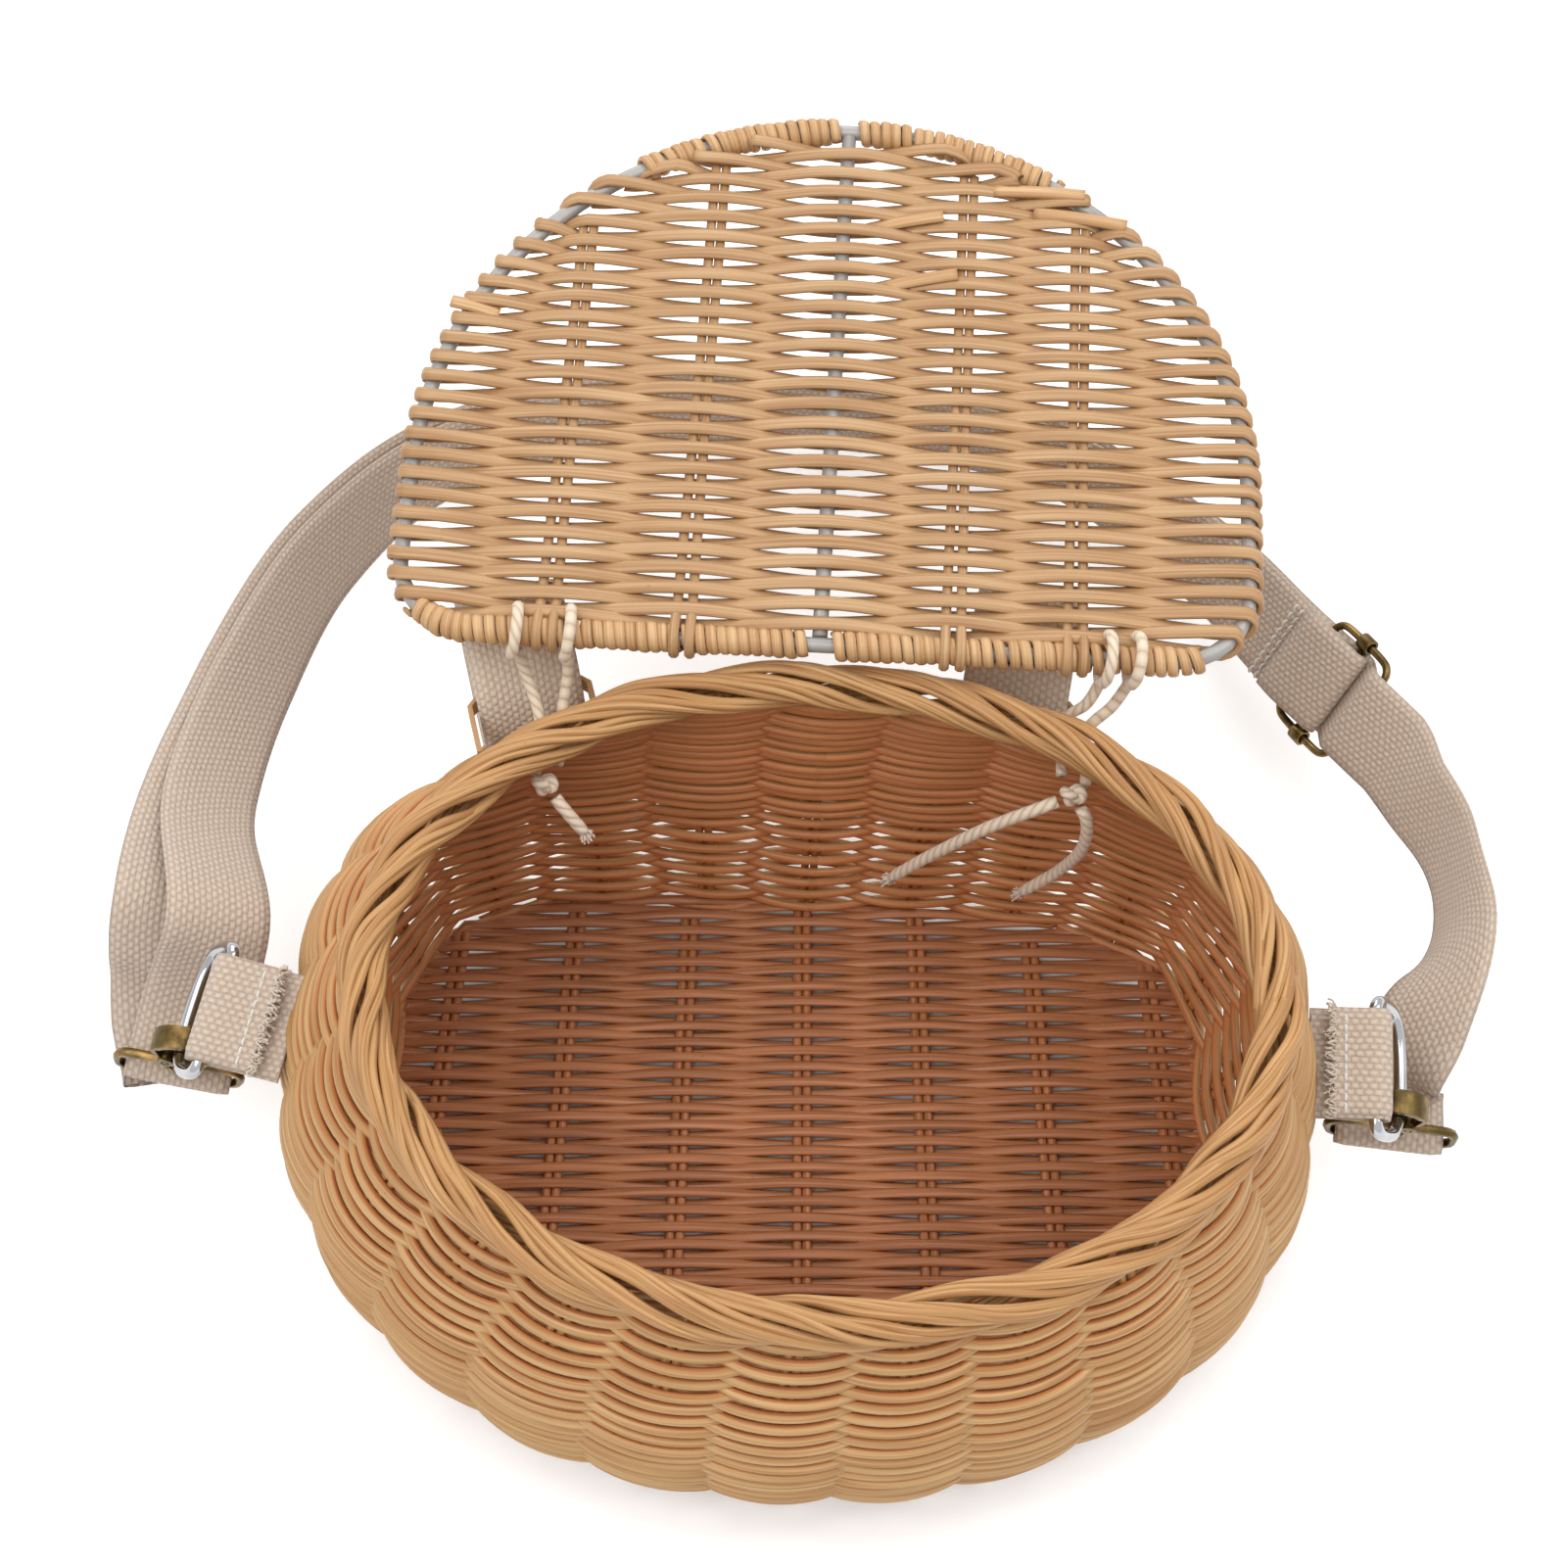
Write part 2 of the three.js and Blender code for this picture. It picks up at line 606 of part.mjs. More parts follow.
function addLid() {
  const frameWire = sweep(lidOutline(), circle(LID_WIRE_RADIUS, 6), () => LID_AXES[2], true);
  piece('lid_frame_wire', frameWire, STEEL);
  const spineStart = LID_WIRE_RADIUS + GAP;
  const spine = [lidPoint(0, spineStart, 0), lidPoint(0, LID_DEPTH - spineStart, 0)];
  piece('lid_spine_wire', tube(spine, LID_WIRE_RADIUS, 8), STEEL);
  LID_STAKES.forEach((x, i) => {
    const rows = span(LID_ROWS).map((row) => LID_FIRST_ROW + row * rowPitch);
    const last = rows.filter((d) => rowCrosses(x, d)).pop();
    const ends = [lidPoint(x, LID_FIRST_ROW - LID_STAKE_LEAD, 0), lidPoint(x, last + LID_STAKE_TIP, 0)];
    const section = pairSection(LID_STAKE_PAIR_WIDTH, LID_STAKE_THICKNESS);
    piece(`lid_stake_pair_${i + 1}`, sweep(ends, section, () => vec(1, 0, 0)), CANE);
  });
  const route = span(LID_ROWS).flatMap((row) => (
    row < LID_ROWS - 1 ? [...lidRow(row), ...lidWrap(row)] : lidRow(row)));
  const weaver = sweep(route, rectangle(CANE_WIDTH, CANE_THICKNESS), () => LID_AXES[1]);
  piece('lid_weaver', weaver, WICKER);
  [-1, 1].forEach((side) => {
    const name = side < 0 ? 'left' : 'right';
    const edge = (t) => [side * mix(HINGE_LASHING_START, HINGE_LASHING_END, t), 0];
    lashing(`${name}_hinge_lashing`, HINGE_LASHING_TURNS, edge);
    const frontX = (t) => side * mix(FRONT_LASHING_START, FRONT_LASHING_END, t);
    const arc = (t) => lidArc(Math.acos(frontX(t) / LID_HALF_WIDTH));
    lashing(`${name}_front_lashing`, FRONT_LASHING_TURNS, arc);
  });
}

// Cord hinges

function addHingeCords() {
  SIDES.forEach((side) => {
    CORD_LOOPS[side].forEach((x, i) => {
      const ring = span(LOOP_STEPS).map((k) => {
        const angle = (2 * Math.PI * k) / LOOP_STEPS;
        const turned = [loopRadius * Math.cos(angle), loopRadius * Math.sin(angle)];
        return lidPoint(x - LID_CENTRE_X, turned[0], turned[1]);
      });
      const loop = sweep(ring, circle(CORD_RADIUS, 6), () => vec(1, 0, 0), true);
      piece(`${side}_hinge_loop_${i + 1}`, loop, COTTON);
    });
  });
  strands.forEach(({ name, path }) => piece(name, tube(path, CORD_RADIUS, 8), COTTON));

  const knotAt = (side) => {
    const x = (CORD_HOLES[side][0] + CORD_HOLES[side][1]) / 2;
    const z = RIM_HEIGHT - CORD_HOLE_BELOW_RIM - STRAND_DROP;
    const wall = Math.min(...CORD_HOLES[side].map((hole) => wallBackY(hole, z)));
    return vec(x, wall - WALL_THICKNESS - STRAND_INSIDE - KNOT_RADIUS - GAP, z);
  };
  SIDES.forEach((side) => {
    const centre = knotAt(side);
    const rings = span(7).map((k) => {
      const angle = mix(-0.46, 0.46, k / 6) * Math.PI;
      const ring = circle(KNOT_RADIUS * Math.cos(angle), 10);
      const height = KNOT_RADIUS * Math.sin(angle);
      return ring.map(([a, b]) => centre.clone().add(vec(a, b, height)));
    });
    piece(`${side}_knot`, loft(rings), COTTON);
  });
  const tail = (name, side, start, controls, count) => {
    const knot = knotAt(side);
    const out = start.clone().normalize().multiplyScalar(KNOT_RADIUS + GAP + 0.2);
    const first = knot.clone().add(out);
    const onward = controls.map((c) => knot.clone().add(c));
    const route = [first, first.clone().addScaledVector(start, 3), ...onward];
    piece(name, tube(smoothPoints(route, count), TAIL_RADIUS, 8), COTTON);
  };
  tail('left_cord_stub', 'left', vec(0.6, -0.5, -0.6), [vec(9, -6, -11)], 5);
  tail('right_long_tail', 'right', vec(-0.9, -0.3, -0.3),
    [vec(-18, -2, -13), vec(-31, 0, -32), vec(-40, 2, -48)], 14);
  tail('right_short_tail', 'right', vec(0.5, -0.4, -0.8),
    [vec(4, -3, -18), vec(0, 0, -36), vec(-8, 2, -52)], 12);
}

// Handlebar straps

function addBarStraps() {
  const seat = solid(wallBlock(GAP));
  const thick = WEBBING_THICKNESS;
  const lift = HOOK_LOOP_THICKNESS + 2 * GAP + thick;
  SIDES.forEach((side) => {
    const x = BAR_STRAP_X[side];
    const z = BAR_STRAP_MIDDLE_Z;
    const [y1, y2] = [wallBackY(x - 10, z), wallBackY(x + 10, z)];
    const across = vec(20, y2 - y1, 0).normalize();
    const out = vec(-across.y, across.x, 0);
    const touch = LOBE_DEPTH + GAP + thick / 2;
    const origin = vec(x, wallBackY(x, z), z).addScaledVector(out, touch + BAR_STRAP_HALF_DEPTH);
    const axes = [out, Z, across];
    const onOval = (degrees, offset) => {
      const angle = rad(degrees);
      const a = (BAR_STRAP_HALF_DEPTH + offset) * Math.cos(angle);
      return local(origin, axes, a, (BAR_STRAP_HALF_HEIGHT + offset) * Math.sin(angle), 0);
    };
    // The closed end lies outside the start, with the fastener between the two
    const start = BAR_STRAP_START;
    const turn = 360 + BAR_STRAP_OVERLAP;
    const path = span(33).map((i) => {
      const swept = (turn * i) / 32;
      return onOval(start + swept, lift * smooth(310, 360, swept));
    });
    const ribbon = sweep(path, rectangle(WEBBING_WIDTH, thick), () => across);
    piece(`${side}_bar_strap`, fromSolid(solid(ribbon).subtract(seat)), COTTON);
    const patch = span(9).map((i) => {
      const middle = thick / 2 + GAP + HOOK_LOOP_THICKNESS / 2;
      return onOval(start + 10 + ((BAR_STRAP_OVERLAP - 25) * i) / 8, middle);
    });
    const fastener = sweep(patch, rectangle(HOOK_LOOP_WIDTH, HOOK_LOOP_THICKNESS), () => across);
    piece(`${side}_hook_and_loop`, fastener, FLEECE);
    [1, -1].forEach((end) => {
      const rise = end * BINDER_OFFSET;
      const depth = Math.sqrt(1 - (rise / BAR_STRAP_HALF_HEIGHT) ** 2) * BAR_STRAP_HALF_DEPTH;
      const top = -depth + 1.6 * thick + GAP + BINDER_THICKNESS / 2;
      const half = WEBBING_WIDTH / 2 + 2 * GAP + BINDER_THICKNESS;
      const foot = -BAR_STRAP_HALF_DEPTH - touch - 6;
      const staple = [[foot, -half], [top - 1.5, -half], [top, -half + 1.5],
        [top, half - 1.5], [top - 1.5, half], [foot, half]];
      const route = staple.map(([a, c]) => local(origin, axes, a, rise, c));
      const strip = sweep(route, rectangle(BINDER_WIDTH, BINDER_THICKNESS), () => Z);
      const place = end > 0 ? 'upper' : 'lower';
      piece(`${side}_${place}_binder`, fromSolid(solid(strip).subtract(seat)), CANE);
    });
  });
}

// Tabs, rings and clasps

function hitchFrame(side) {
  const sign = side === 'left' ? -1 : 1;
  const turned = (v) => v.applyAxisAngle(Z, rad(TAB_TURN[side]));
  const outward = turned(vec(sign, 0, 0));
  const across = turned(vec(0, Math.cos(rad(TAB_TILT)), Math.sin(rad(TAB_TILT))));
  const up = turned(vec(0, -Math.sin(rad(TAB_TILT)), Math.cos(rad(TAB_TILT))));
  const level = wallLevel(TAB_HEIGHT);
  const wallX = level.centreX + sign * (planRadius(level, 0, 0) + level.lobe);
  const bar = vec(wallX, TAB_Y[side], TAB_HEIGHT).addScaledVector(outward, TAB_LENGTH[side]);
  const fall = rad(RING_HANG[side]);
  const hang = outward.clone().multiplyScalar(Math.cos(fall)).addScaledVector(up, -Math.sin(fall));
  const onRing = (v) => local(bar, [across, hang, up], v, ringDepthAt(v), 0);

  // The clasp lies square to the ring's wire and hangs from it, leaning a little outwards
  const seat = CLASP_ON_RING[side];
  const wireWay = onRing(seat + 0.5).sub(onRing(seat - 0.5)).normalize();
  const plumb = Z.clone().negate().projectOnPlane(wireWay).normalize();
  const sideways = outward.clone().projectOnPlane(wireWay).projectOnPlane(plumb).normalize();
  const lean = rad(CLASP_OUT[side]);
  const down = plumb.clone().multiplyScalar(Math.cos(lean)).addScaledVector(sideways, Math.sin(lean));
  const along = sideways.clone().multiplyScalar(Math.cos(lean)).addScaledVector(plumb, -Math.sin(lean));
  const hook = onRing(seat).addScaledVector(down, HOOK_INNER_RADIUS - RING_WIRE_RADIUS - HOOK_CLEARANCE);
  const bailReach = SWIVEL_BOSS_END + GAP + COLLAR_THICKNESS / 2 + BAIL_DROP;
  const bailBar = hook.clone().addScaledVector(down, bailReach);
  return { outward, across, up, bar, hang, wireWay, down, along, hook, bailBar };
}

function ringDepthAt(v) {
  const power = 2.6;
  const t = (1 - Math.abs(v / RING_HALF_WIDTH) ** power) ** (1 / power);
  return RING_SHOULDER + (RING_DEPTH - RING_SHOULDER) * t;
}

function addTabAndRing(side, frame, seat) {
  const { bar, outward, across, up, hang } = frame;
  const fold = RING_WIRE_RADIUS + GAP + 0.1 + WEBBING_THICKNESS / 2;
  const rest = WEBBING_THICKNESS / 2 + PLY_GAP / 2;
  const inWall = -TAB_LENGTH[side] - WALL_THICKNESS;
  const ply = [[inWall, rest], [-TAB_LENGTH[side] * 0.6, rest + 0.2]];
  const arc = span(7).map((k) => {
    const angle = mix(100, -100, k / 6);
    return [fold * Math.cos(rad(angle)), fold * Math.sin(rad(angle))];
  });
  const mirrored = ply.map(([u, n]) => [u, -n]).reverse();
  const tabAxes = [outward, up, across];
  const route = [...ply, ...arc, ...mirrored].map(([u, n]) => local(bar, tabAxes, u, n, 0));
  const ribbon = sweep(route, rectangle(WEBBING_WIDTH, WEBBING_THICKNESS), () => across);
  piece(`${side}_tab`, fromSolid(solid(ribbon).subtract(seat)), COTTON);

  const flat = RING_HALF_WIDTH - RING_CORNER;
  const outline = [[-flat, 0], [0, 0], [flat, 0]];
  const corner = [-60, -30, 0].map((angle) => [
    flat + RING_CORNER * Math.cos(rad(angle)), RING_CORNER + RING_CORNER * Math.sin(rad(angle))]);
  const far = span(11).map((k) => {
    const v = RING_HALF_WIDTH * Math.cos((Math.PI * (k + 1)) / 12);
    return [v, ringDepthAt(v)];
  });
  const back = corner.map(([v, d]) => [-v, d]).reverse();
  const ringAxes = [across, hang, up];
  const loop = [...outline, ...corner, ...far, ...back].map(([v, d]) => local(bar, ringAxes, v, d, 0));
  const normal = across.clone().cross(hang);
  piece(`${side}_ring`, sweep(loop, circle(RING_WIRE_RADIUS, 8), () => normal, true), CHROME);
}

const polar = (radius, degrees) => [radius * Math.cos(rad(degrees)), radius * Math.sin(rad(degrees))];

// Angle on a circle about the hook centre that is a given distance from the gate pivot
function angleFromPivot(radius, distance) {
  const middle = (HOOK_INNER_RADIUS + HOOK_OUTER_RADIUS) / 2;
  const cosine = (radius ** 2 + middle ** 2 - distance ** 2) / (2 * radius * middle);
  return GATE_PIVOT_ANGLE - THREE.MathUtils.radToDeg(Math.acos(cosine));
}

// Band from one angle to an outer and an inner end angle, four corners swept round
function band(frame, innerRadius, from, outerTo, innerTo, width, steps) {
  const axes = [frame.along, frame.down, frame.wireWay];
  const corner = ([e, h], v) => local(frame.hook, axes, e, h, v);
  const half = width / 2;
  const rings = span(steps + 1).map((i) => {
    const outer = polar(HOOK_OUTER_RADIUS, mix(from, outerTo, i / steps));
    const inner = polar(innerRadius, mix(from, innerTo, i / steps));
    return [corner(outer, -half), corner(outer, half), corner(inner, half), corner(inner, -half)];
  });
  return loft(rings);
}

function addClasp(side, frame) {
  const axes = [frame.along, frame.down, frame.wireWay];
  const at = (e, h, v) => local(frame.hook, axes, e, h, v);
  const middle = (HOOK_INNER_RADIUS + HOOK_OUTER_RADIUS) / 2;
  const [pivotE, pivotH] = polar(middle, GATE_PIVOT_ANGLE);
  const reach = 2 * middle * Math.sin(rad(GATE_SPAN / 2));
  const pivot = (v) => at(pivotE, pivotH, v);
  const pivotRod = (radius, width, sides) => rod(pivot(-width / 2), pivot(width / 2), radius, sides);
  const spine = (from, to, radius) => rod(at(0, from, 0), at(0, to, 0), radius, 10);

  const noseOut = angleFromPivot(HOOK_OUTER_RADIUS, reach + GAP) + 360;
  const noseIn = angleFromPivot(HOOK_INNER_RADIUS, reach + GAP) + 360;
  const curlStart = GATE_PIVOT_ANGLE + HOOK_START;
  const curl = band(frame, HOOK_INNER_RADIUS, curlStart, noseOut, noseIn, HOOK_WIDTH, 14);
  const headTop = SWIVEL_BOSS_END + COLLAR_THICKNESS + 2 * GAP;
  const hook = join(
    curl,
    pivotRod(CHEEK_RADIUS, HOOK_WIDTH, 10),
    spine(middle, SWIVEL_BOSS_END, SWIVEL_BOSS_RADIUS),
    spine(middle, headTop + 0.5, SWIVEL_SHANK_RADIUS),
    spine(headTop, headTop + SWIVEL_HEAD_THICKNESS, SWIVEL_HEAD_RADIUS),
  );
  const slot = pivotRod(CHEEK_RADIUS + 0.1, GATE_WIDTH + 2 * GAP, 12);
  const bore = pivotRod(GATE_PIN_RADIUS + GAP, HOOK_WIDTH + 1, 8);
  piece(`${side}_hook`, fromSolid(cut(hook, slot, bore)), BRASS);

  const tipOut = angleFromPivot(HOOK_OUTER_RADIUS, reach);
  const tipIn = angleFromPivot(GATE_INNER_RADIUS, reach);
  const leafStart = GATE_PIVOT_ANGLE - GATE_START;
  const leaf = band(frame, GATE_INNER_RADIUS, leafStart, tipOut, tipIn, GATE_WIDTH, 8);
  const gate = join(leaf, pivotRod(GATE_KNUCKLE_RADIUS, GATE_WIDTH, 10));
  piece(`${side}_gate`, fromSolid(cut(gate, bore)), BRASS);
  piece(`${side}_gate_pin`, pivotRod(GATE_PIN_RADIUS, HOOK_WIDTH, 8), BRASS);

  const collarFrom = SWIVEL_BOSS_END + GAP;
  const collar = spine(collarFrom, collarFrom + COLLAR_THICKNESS, COLLAR_RADIUS);
  const level = collarFrom + COLLAR_THICKNESS / 2;
  const inCollar = (COLLAR_RADIUS + SWIVEL_SHANK_RADIUS + GAP) / 2;
  const turn = (sign, low) => span(4).map((i) => {
    const angle = low ? mix(0, 90, i / 3) : mix(-90, 0, i / 3);
    const centre = low ? level + BAIL_DROP - BAIL_CORNER : level + BAIL_CORNER;
    const e = BAIL_HALF_WIDTH - BAIL_CORNER + BAIL_CORNER * Math.cos(rad(angle));
    return [sign * e, centre + BAIL_CORNER * Math.sin(rad(angle))];
  });
  const half = [[inCollar, level], ...turn(1, false), ...turn(1, true)];
  const whole = [...half, ...half.map(([e, h]) => [-e, h]).reverse()];
  const bailPath = whole.map(([e, h]) => at(e, h, 0));
  const wire = sweep(bailPath, circle(BAIL_WIRE_RADIUS, 6), () => frame.wireWay);
  const hole = spine(collarFrom - 1, collarFrom + COLLAR_THICKNESS + 1, SWIVEL_SHANK_RADIUS + GAP);
  piece(`${side}_bail`, fromSolid(cut(join(wire, collar), hole)), BRASS);
}

const hitches = { left: hitchFrame('left'), right: hitchFrame('right') };

function addHitches() {
  const seat = solid(wallBlock(GAP));
  SIDES.forEach((side) => {
    addTabAndRing(side, hitches[side], seat);
    addClasp(side, hitches[side]);
  });
}

// Carrying strap: route from the left bail round the back to the right bail,
// with the slope of its face at each point (90 lies flat, 0 stands on edge)

const strapEnd = (side, reach) => {
  const { bailBar, wireWay } = hitches[side];
  return bailBar.clone().addScaledVector(wireWay, reach);
};
const endRoll = (side) => {
  const { down, wireWay } = hitches[side];
  const inward = vec(wireWay.y, -wireWay.x, 0).normalize().multiplyScalar(side === 'left' ? 1 : -1);
  return THREE.MathUtils.radToDeg(Math.atan2(-down.z, -down.dot(inward)));
};
const STRAP_ROUTE = [
  [strapEnd('left', 0), endRoll('left')],
  [strapEnd('left', 14), endRoll('left')],
  [vec(-145, 37, 66), 74],
  [vec(-154.7, 69.7, 56), 68],
  [vec(-156.4, 88, 50), 64],
  [vec(-155, 118.4, 42), 56],
  [vec(-144, 172, 26), 42],
  [vec(-118, 211, 18), 24],
  [vec(-66, 232, 14), 8],
  [vec(-4, 234, 13.5), 3],
  [vec(56, 222, 15), 10],
  [vec(100, 184, 20), 30],
  [vec(122, 151, 27), 42],
  [vec(133.7, 133, 31), 42],
  [vec(144, 112, 36), 32],
  [vec(154.5, 90, 41), 16],
  [vec(157.5, 68, 48), 10],
  [vec(154.9, 53, 54), 18],
  [vec(147.8, 38, 60), 34],
  [strapEnd('right', 14), endRoll('right')],
  [strapEnd('right', 0), endRoll('right')],
];
const strapPoints = STRAP_ROUTE.map(([point]) => point);
const strapCurve = new THREE.CatmullRomCurve3(strapPoints, false, 'centripetal');
strapCurve.arcLengthDivisions = 800;
const strapLength = strapCurve.getLength();
const strapReach = strapPoints.map((_, i) => {
  const lengths = strapCurve.getLengths();
  return lengths[Math.round((i / (strapPoints.length - 1)) * (lengths.length - 1))];
});

function rollAt(s) {
  const i = Math.max(1, strapReach.findIndex((r) => r >= s - 1e-6));
  const t = (s - strapReach[i - 1]) / (strapReach[i] - strapReach[i - 1]);
  return mix(STRAP_ROUTE[i - 1][1], STRAP_ROUTE[i][1], smooth(0, 1, t));
}

function curveFrame(s) {
  const t = Math.min(1, Math.max(0, s / strapLength));
  const point = strapCurve.getPointAt(t);
  const along = strapCurve.getTangentAt(t);
  const inward = vec(along.y, -along.x, 0).normalize();
  const roll = rad(rollAt(Math.min(strapLength, Math.max(0, s))));
  const normal = inward.multiplyScalar(Math.cos(roll)).addScaledVector(Z, Math.sin(roll));
  normal.addScaledVector(along, -normal.dot(along)).normalize();
  return { point, along, normal };
}

const sliderReach = SLIDER_ALONG * strapLength;
const sliderFrame = curveFrame(sliderReach);

// The strap runs straight through the slider and eases back to its curve beyond it
function strapFrame(s) {
  const frame = curveFrame(s);
  const weight = 1 - smooth(SLIDER_STRAIGHT, SLIDER_EASED, Math.abs(s - sliderReach));
  const straight = sliderFrame.point.clone().addScaledVector(sliderFrame.along, s - sliderReach);
  const point = frame.point.lerp(straight, weight);
  const along = frame.along.lerp(sliderFrame.along, weight).normalize();
  const normal = frame.normal.lerp(sliderFrame.normal, weight);
  normal.addScaledVector(along, -normal.dot(along)).normalize();
  const across = along.clone().cross(normal);
  return { point, along, normal, across };
}

function strapPoint(s, height, aside) {
  const { point, normal, across } = strapFrame(s);
  return { point: point.addScaledVector(normal, height).addScaledVector(across, aside), across };
}

function addStrap() {
  const foldRadius = BAIL_WIRE_RADIUS + GAP + 0.1 + WEBBING_THICKNESS / 2;
  const close = (WEBBING_THICKNESS + PLY_GAP) / 2;
  const ease = (s) => mix(foldRadius, close, smooth(4, 30, s));
  const sag = (s) => {
    const t = THREE.MathUtils.clamp((s - 6) / STRAP_SAG_REACH, 0, 1);
    return STRAP_SAG * Math.sin(Math.PI * t) ** 2;
  };
  // The lower ply lies beside the upper one near the left clasp
  const splay = (s) => {
    const close = mix(1, STRAP_SPLAY_LEFT, smooth(40, 105, s));
    return STRAP_SPLAY * smooth(0, 30, s) * close * (1 - smooth(near - 120, near - 40, s));
  };
  const step = WEBBING_THICKNESS + PLY_GAP - 0.05;
  const over = SLIDER_WIRE_RADIUS + GAP + 0.1 + WEBBING_THICKNESS / 2;
  const end = SLIDER_HALF_LENGTH;
  const near = sliderReach - SLIDER_CLEAR;
  const far = sliderReach + SLIDER_CLEAR;

  // Sewn end: over the slider's end bar, round its middle bar and back underneath
  const tail = [[-18, over + 1.3], [-end - 2.7, over + step], [-end, over + step],
    [-6, over + 1.1], [-2, over + 0.1]];
  const bend = span(7).map((k) => {
    const angle = rad(mix(80, -90, k / 6));
    return [over * Math.cos(angle), over * Math.sin(angle)];
  });
  const upper = [[-2, -over], [-9, over - 0.1], [-end - 1.7, over], [-18, 1.6]];
  const lower = [[-18, -1.5], [-12, -over - 0.05], [-9, -over - 0.3], [-3, -over - step], [0, -over - step],
    [2.5, -over - 1.3], [end - 2, over - 0.3], [end, over + 0.05], [end + 1.7, over], [16, 2]];

  const points = [];
  const put = (s, height, aside = 0) => points.push(strapPoint(s, height, aside));
  [...tail, ...bend, ...upper].forEach(([d, n]) => put(sliderReach + d, n));
  span(STRAP_STEPS).forEach((i) => {
    const s = near * (1 - i / (STRAP_STEPS - 1));
    put(s, ease(s));
  });
  const foldAt = (s, direction) => span(5).forEach((k) => {
    const angle = rad(mix(60, -60, k / 4));
    const frame = strapFrame(s);
    const shift = direction * foldRadius * Math.cos(angle);
    const point = frame.point.addScaledVector(frame.normal, foldRadius * Math.sin(angle));
    points.push({ point: point.addScaledVector(frame.along, shift), across: frame.across });
  });
  foldAt(0, -1);
  span(STRAP_STEPS).forEach((i) => {
    const s = near * (i / (STRAP_STEPS - 1));
    put(s, -ease(s) - sag(s), -splay(s));
  });
  lower.forEach(([d, n]) => put(sliderReach + d, n));
  span(STRAP_END_STEPS).forEach((i) => {
    const s = mix(far, strapLength, i / (STRAP_END_STEPS - 1));
    put(s, foldRadius * smooth(far, strapLength - 30, s));
  });
  foldAt(strapLength, 1);
  span(6).forEach((i) => {
    const s = strapLength - (STRAP_END_TAIL * i) / 5;
    put(s, mix(-foldRadius, foldRadius - step - GAP, i / 5));
  });

  const route = points.map(({ point }) => point);
  const section = rectangle(WEBBING_WIDTH, WEBBING_THICKNESS);
  piece('carrying_strap', sweep(route, section, (i) => points[i].across), COTTON);
}

function addSlider() {
  const { point, along, normal } = sliderFrame;
  const across = along.clone().cross(normal);
  const at = (d, w) => local(point, [along, across, normal], d, w, 0);
  const outline = [[1, 1], [-1, 1], [-1, -1], [1, -1]].flatMap(([a, b], i) => span(4).map((k) => {
    const angle = rad(90 * i + 30 * k);
    const d = a * (SLIDER_HALF_LENGTH - SLIDER_CORNER) + SLIDER_CORNER * Math.cos(angle);
    return at(d, b * (SLIDER_HALF_WIDTH - SLIDER_CORNER) + SLIDER_CORNER * Math.sin(angle));
  }));
  piece('slider_frame', sweep(outline, circle(SLIDER_WIRE_RADIUS, 8), () => normal, true), BRASS);
  const inSleeve = (SLEEVE_RADIUS + SLIDER_WIRE_RADIUS + GAP) / 2;
  const barEnd = SLIDER_HALF_WIDTH - inSleeve;
  const bar = rod(at(0, -barEnd), at(0, barEnd), SLIDER_WIRE_RADIUS, 8);
  const sleeve = (sign, radius, length) => {
    const w = sign * SLIDER_HALF_WIDTH;
    return rod(at(-length / 2, w), at(length / 2, w), radius, 12);
  };
  const sleeves = [1, -1].map((sign) => sleeve(sign, SLEEVE_RADIUS, SLEEVE_LENGTH));
  const body = join(bar, ...sleeves);
  const bores = [1, -1].map((sign) => sleeve(sign, SLIDER_WIRE_RADIUS + GAP, SLEEVE_LENGTH + 1));
  piece('slider_bar', fromSolid(cut(body, ...bores)), BRASS);
}

addBody();
addBase();
addLid();
addHingeCords();
addBarStraps();
addHitches();
addStrap();
addSlider();

export default group;
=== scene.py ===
"""Looks of a small lidded wicker bicycle basket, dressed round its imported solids."""

import logging
import math
from dataclasses import dataclass, field
from enum import Enum
from typing import Callable, Iterable, Sequence

import bmesh
import bpy
import numpy as np
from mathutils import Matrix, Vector


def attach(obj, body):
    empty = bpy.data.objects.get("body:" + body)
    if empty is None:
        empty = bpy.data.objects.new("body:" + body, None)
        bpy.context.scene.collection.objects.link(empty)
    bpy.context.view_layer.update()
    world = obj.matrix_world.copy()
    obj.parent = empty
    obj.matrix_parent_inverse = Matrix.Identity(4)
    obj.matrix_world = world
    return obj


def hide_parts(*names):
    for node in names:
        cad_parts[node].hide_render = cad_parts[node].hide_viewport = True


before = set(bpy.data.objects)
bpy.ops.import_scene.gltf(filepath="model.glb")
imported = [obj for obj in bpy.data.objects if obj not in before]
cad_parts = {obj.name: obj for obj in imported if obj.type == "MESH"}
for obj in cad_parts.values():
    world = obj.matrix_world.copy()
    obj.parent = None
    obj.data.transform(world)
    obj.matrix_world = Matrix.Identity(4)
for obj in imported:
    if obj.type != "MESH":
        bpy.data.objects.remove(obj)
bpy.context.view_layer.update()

LOG = logging.getLogger("basket")
MM = 0.001
UP = np.array((0.0, 0.0, 1.0))
ACROSS = np.array((1.0, 0.0, 0.0))
SIDES = (-1, 1)
GRAIN_APART = (371.0, 5.3)  # shift of the grain from one strand of a mesh to the next
WHITE = (1.0, 1.0, 1.0, 1.0)
Array = np.ndarray
Colour = tuple[float, float, float]
Socket = bpy.types.NodeSocket
Piece = bpy.types.Object
Material = bpy.types.Material


